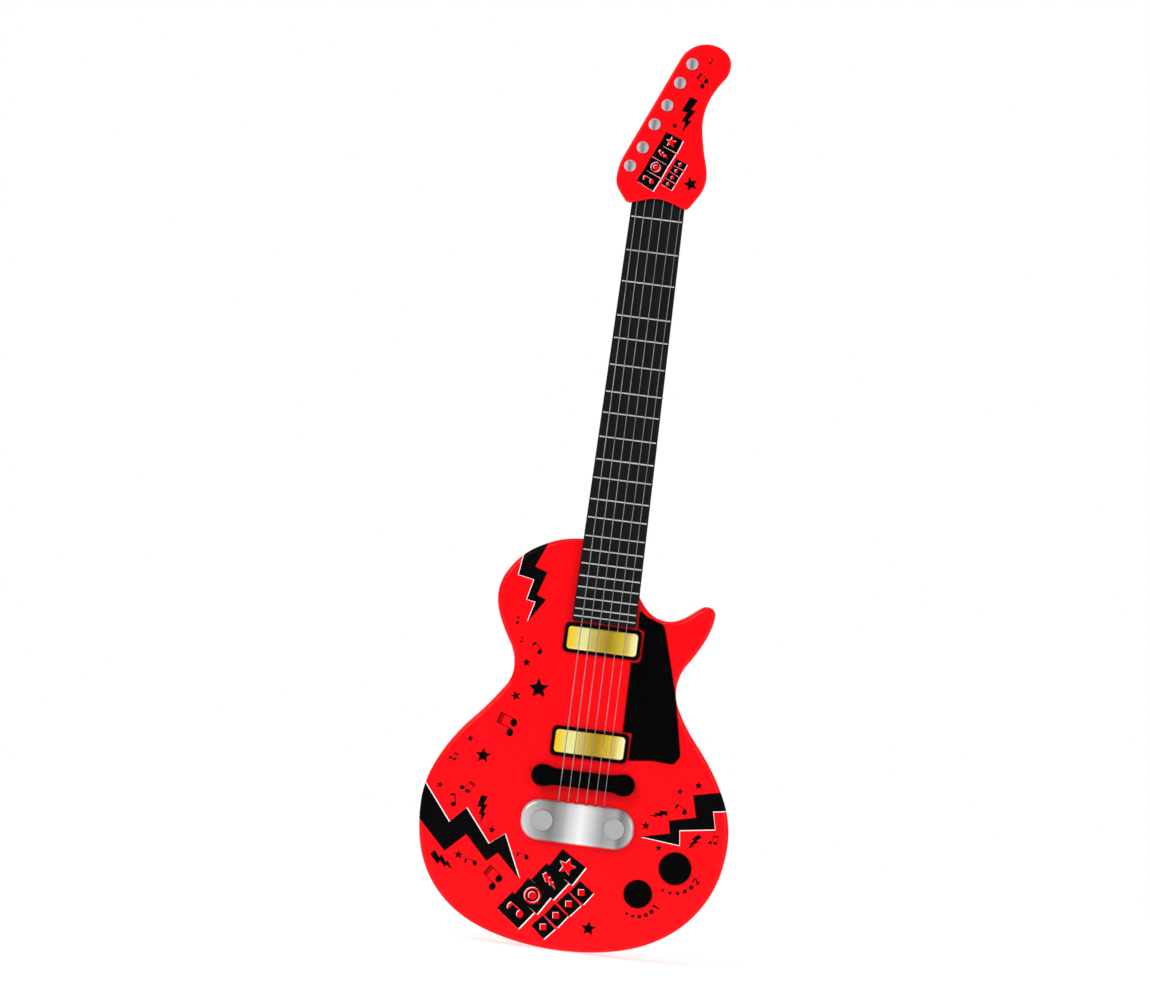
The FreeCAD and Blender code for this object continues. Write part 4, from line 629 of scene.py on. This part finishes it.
def sticker_mesh(name, outlines, surface, depth, lift, keep):
    """Outlines as thin films that lie on a surface and follow its rounded edges. A face is kept if any
    or all of its corners are over the surface, as keep says."""
    points = []
    faces = []
    for outline in outlines:
        flat_points, flat_faces = cell_faces(outline, EDGE_CELL if reaches_edge(outline) else None)
        places = [laid_on(surface, depth, point) for point in flat_points]
        flat_faces = [face for face in flat_faces if keep(places[index][2] for index in face)]
        faces += [[index + len(points) for index in face] for face in film(flat_faces, len(flat_points))]
        points += [spot + normal * lift * MM for spot, normal, _ in places]
        points += [spot + normal * (lift - FILM_THICK) * MM for spot, normal, _ in places]
    data = bpy.data.meshes.new(name)
    data.from_pydata(points, [], faces)
    mesh = bmesh.new()
    mesh.from_mesh(data)
    loose = [vertex for vertex in mesh.verts if not vertex.link_faces]
    bmesh.ops.delete(mesh, geom=loose, context="VERTS")
    mesh.to_mesh(data)
    mesh.free()
    return data


def surface_of(node):
    """The node's faces, for laying stickers on them."""
    data = NODES[node].data
    corners = [vertex.co.copy() for vertex in data.vertices]
    return BVHTree.FromPolygons(corners, [tuple(face.vertices) for face in data.polygons])


def add_stickers(prefix, node, layers):
    """Lays each layer of outlines on a shell, its top at its own height in mm above the surface. The last
    entry of a row says how many of a face's corners have to be over the surface."""
    surface = surface_of(node)
    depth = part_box(node)[0].y
    rows = (("under", layers.under, STICKER_WHITE, "nut_plastic", 0.08, all),
            ("black", layers.black, STICKER_BLACK, "black_plate", 0.14, any),
            ("edge", layers.edge, STICKER_WHITE, "nut_plastic", 0.20, any),
            ("red", layers.red, STICKER_RED, "red_shell", 0.26, any))
    for suffix, outlines, material, slot, lift, keep in rows:
        name = f"{prefix}_sticker_{suffix}"
        piece = bpy.data.objects.new(name, sticker_mesh(name, outlines, surface, depth, lift, keep))
        piece.data.materials.append(material)
        bpy.context.scene.collection.objects.link(piece)
        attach(piece, BODY)


def button_place(node):
    """A round button's middle, as x and z, and its radius, in mm."""
    low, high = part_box(node)
    return (low.x + high.x) / 2 / MM, (low.z + high.z) / 2 / MM, (high.x - low.x) / 2 / MM


def body_stickers():
    """Everything printed on the front of the body."""
    layers = Layers()
    for outline, (dx, dz) in LARGE_BOLTS:
        layers.under.append(moved(outline, dx, dz))
        layers.black.append(outline)
    layers.black += [star(*row) for row in BODY_STARS]
    layers.black += [small_bolt(*row) for row in BODY_SMALL_BOLTS]
    for row in BODY_NOTE_PAIRS:
        layers.black += note_pair(*row)
    for row in BODY_NOTE_SINGLES:
        layers.black += note_single(*row)
    add_tile_row(layers, BODY_TILES, tile_signs, 0.7)
    add_tile_row(layers, BODY_STRIP, strip_signs, 0.6)
    for node, digit, start, end in LABELS:
        x, z, radius = button_place(node)
        layers.black += label_marks(x, z, radius + LABEL_GAP, start, end, digit)
    add_stickers("body", "body_front_shell", layers)


def head_stickers():
    """Everything printed on the front of the headstock."""
    layers = Layers()
    layers.black += [star(*row) for row in HEAD_STARS]
    layers.black += [small_bolt(*row) for row in HEAD_BOLTS]
    for row in HEAD_NOTE_PAIRS:
        layers.black += note_pair(*row)
    for row in HEAD_NOTE_SINGLES:
        layers.black += note_single(*row)
    add_tile_row(layers, HEAD_TILES, tile_signs, 0.55)
    add_tile_row(layers, HEAD_STRIP, strip_signs, 0.4)
    add_stickers("head", "head_front_shell", layers)


# ---------------------------------------------------------------- springs

def add_springs():
    """The buttons' return springs, as copies of their CAD nodes on the guitar, with the nodes themselves
    hidden.
    """
    for joint in frame["record"]["behaviour"]["joints"]:
        for row in joint.get("deforming_nodes", ()):
            node = row["node"]
            piece = bpy.data.objects.new(f"{node}_coil", NODES[node].data.copy())
            bpy.context.scene.collection.objects.link(piece)
            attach(piece, BODY)
            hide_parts(node)
            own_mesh(piece)


# ---------------------------------------------------------------- studio

# Each light: its name, place in metres, size of its side and power. All of them aim at LIGHT_AIM.
LIGHTS = (
    ("key", (-1.3, -1.9, 1.0), 1.2, 36.0),
    ("fill", (1.6, -1.7, 0.2), 1.4, 16.0),
    ("back_left", (-1.5, 1.8, 0.8), 1.2, 14.0),
    ("back_right", (1.4, 1.9, 0.3), 1.2, 7.0),
    ("top", (0.0, -0.2, 2.0), 1.0, 8.0),
)
LIGHT_AIM = (0.0, 0.0, -0.2)
WORLD_STRENGTH = 0.3

# The floor's paint and glow, where it starts to fade and where it has gone, and sizes in metres.
FLOOR_WHITE = 0.5
FLOOR_GLOW = 0.70
FLOOR_FADE = (0.5, 2.4)
FLOOR_RADIUS = 2.6
FLOOR_GAP = 0.0005
DOME_RADIUS = 13.0

def add_camera():
    """A long lens straight at the front, rolled so that the guitar leans to the right as it stands."""
    data = bpy.data.cameras.new("camera")
    data.sensor_width = SENSOR_MM
    data.lens = SENSOR_MM * CAMERA_DISTANCE / (FRAME_WIDTH * PIXEL_MM * MM)
    camera = bpy.data.objects.new("camera", data)
    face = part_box("pickguard")[0].y
    right = Vector((math.cos(LEAN), 0.0, math.sin(LEAN)))
    up = Vector((-math.sin(LEAN), 0.0, math.cos(LEAN)))
    back = Vector((0.0, -1.0, 0.0))
    turn = Matrix((right, up, back)).transposed()
    camera.matrix_world = Matrix.Translation(
        (CAMERA_AIM[0] * MM, face - CAMERA_DISTANCE, CAMERA_AIM[1] * MM)) @ turn.to_4x4()
    bpy.context.scene.collection.objects.link(camera)
    bpy.context.scene.camera = camera


def add_light(name, place, size, power):
    """A soft square light that the camera doesn't see."""
    data = bpy.data.lights.new(name, "AREA")
    data.shape = "SQUARE"
    data.size = size
    data.energy = power
    light = bpy.data.objects.new(name, data)
    light.location = place
    light.rotation_euler = (Vector(LIGHT_AIM) - Vector(place)).to_track_quat("-Z", "Y").to_euler()
    light.visible_camera = False
    bpy.context.scene.collection.objects.link(light)


def floor_material(name):
    """White paint near the middle that fades to nothing far away, where the dome behind it shows."""
    material = bpy.data.materials.new(name)
    material.use_nodes = True
    nodes = material.node_tree.nodes
    links = material.node_tree.links
    shader = nodes["Principled BSDF"]
    shader.inputs["Base Color"].default_value = (FLOOR_WHITE, FLOOR_WHITE, FLOOR_WHITE, 1.0)
    shader.inputs["Roughness"].default_value = 0.9
    shader.inputs["Specular IOR Level"].default_value = 0.1
    shader.inputs["Emission Color"].default_value = (1.0, 1.0, 1.0, 1.0)
    shader.inputs["Emission Strength"].default_value = FLOOR_GLOW
    clear = nodes.new("ShaderNodeBsdfTransparent")
    mix = nodes.new("ShaderNodeMixShader")
    place = nodes.new("ShaderNodeTexCoord")
    length = nodes.new("ShaderNodeVectorMath")
    length.operation = "LENGTH"
    share = nodes.new("ShaderNodeMapRange")
    share.inputs["From Min"].default_value = FLOOR_FADE[0]
    share.inputs["From Max"].default_value = FLOOR_FADE[1]
    links.new(place.outputs["Object"], length.inputs[0])
    links.new(length.outputs["Value"], share.inputs["Value"])
    links.new(share.outputs["Result"], mix.inputs["Fac"])
    links.new(shader.outputs["BSDF"], mix.inputs[1])
    links.new(clear.outputs["BSDF"], mix.inputs[2])
    links.new(mix.outputs["Shader"], nodes["Material Output"].inputs["Surface"])
    return material


def glowing_material(name):
    """A plain white glow."""
    material = bpy.data.materials.new(name)
    material.use_nodes = True
    nodes = material.node_tree.nodes
    glow = nodes.new("ShaderNodeEmission")
    material.node_tree.links.new(glow.outputs["Emission"], nodes["Material Output"].inputs["Surface"])
    return material


def add_stage():
    """A wide pale floor just under the guitar, inside a white dome that only the camera sees."""
    floor_mesh = bmesh.new()
    bmesh.ops.create_circle(floor_mesh, cap_ends=True, segments=96, radius=FLOOR_RADIUS)
    dome_mesh = bmesh.new()
    bmesh.ops.create_uvsphere(dome_mesh, u_segments=48, v_segments=24, radius=DOME_RADIUS)
    floor_paint = floor_material("floor_white")
    dome_paint = glowing_material("dome_white")
    ground = cad_box[0].z - FLOOR_GAP
    for name, mesh, material in (("floor", floor_mesh, floor_paint), ("dome", dome_mesh, dome_paint)):
        data = bpy.data.meshes.new(name)
        mesh.to_mesh(data)
        mesh.free()
        data.materials.append(material)
        piece = bpy.data.objects.new(name, data)
        piece.location = (0.0, 0.0, ground)
        bpy.context.scene.collection.objects.link(piece)
        if name == "dome":
            piece.visible_diffuse = False
            piece.visible_glossy = False
            piece.visible_transmission = False
            piece.visible_shadow = False


def add_world():
    """An even white surround."""
    world = bpy.data.worlds.new("studio")
    world.use_nodes = True
    background = world.node_tree.nodes["Background"]
    background.inputs["Color"].default_value = (1.0, 1.0, 1.0, 1.0)
    background.inputs["Strength"].default_value = WORLD_STRENGTH
    bpy.context.scene.world = world


dress_nodes()
body_stickers()
head_stickers()
add_springs()
add_camera()
for light_row in LIGHTS:
    add_light(*light_row)
add_world()
add_stage()
bpy.context.scene.view_settings.view_transform = "Standard"
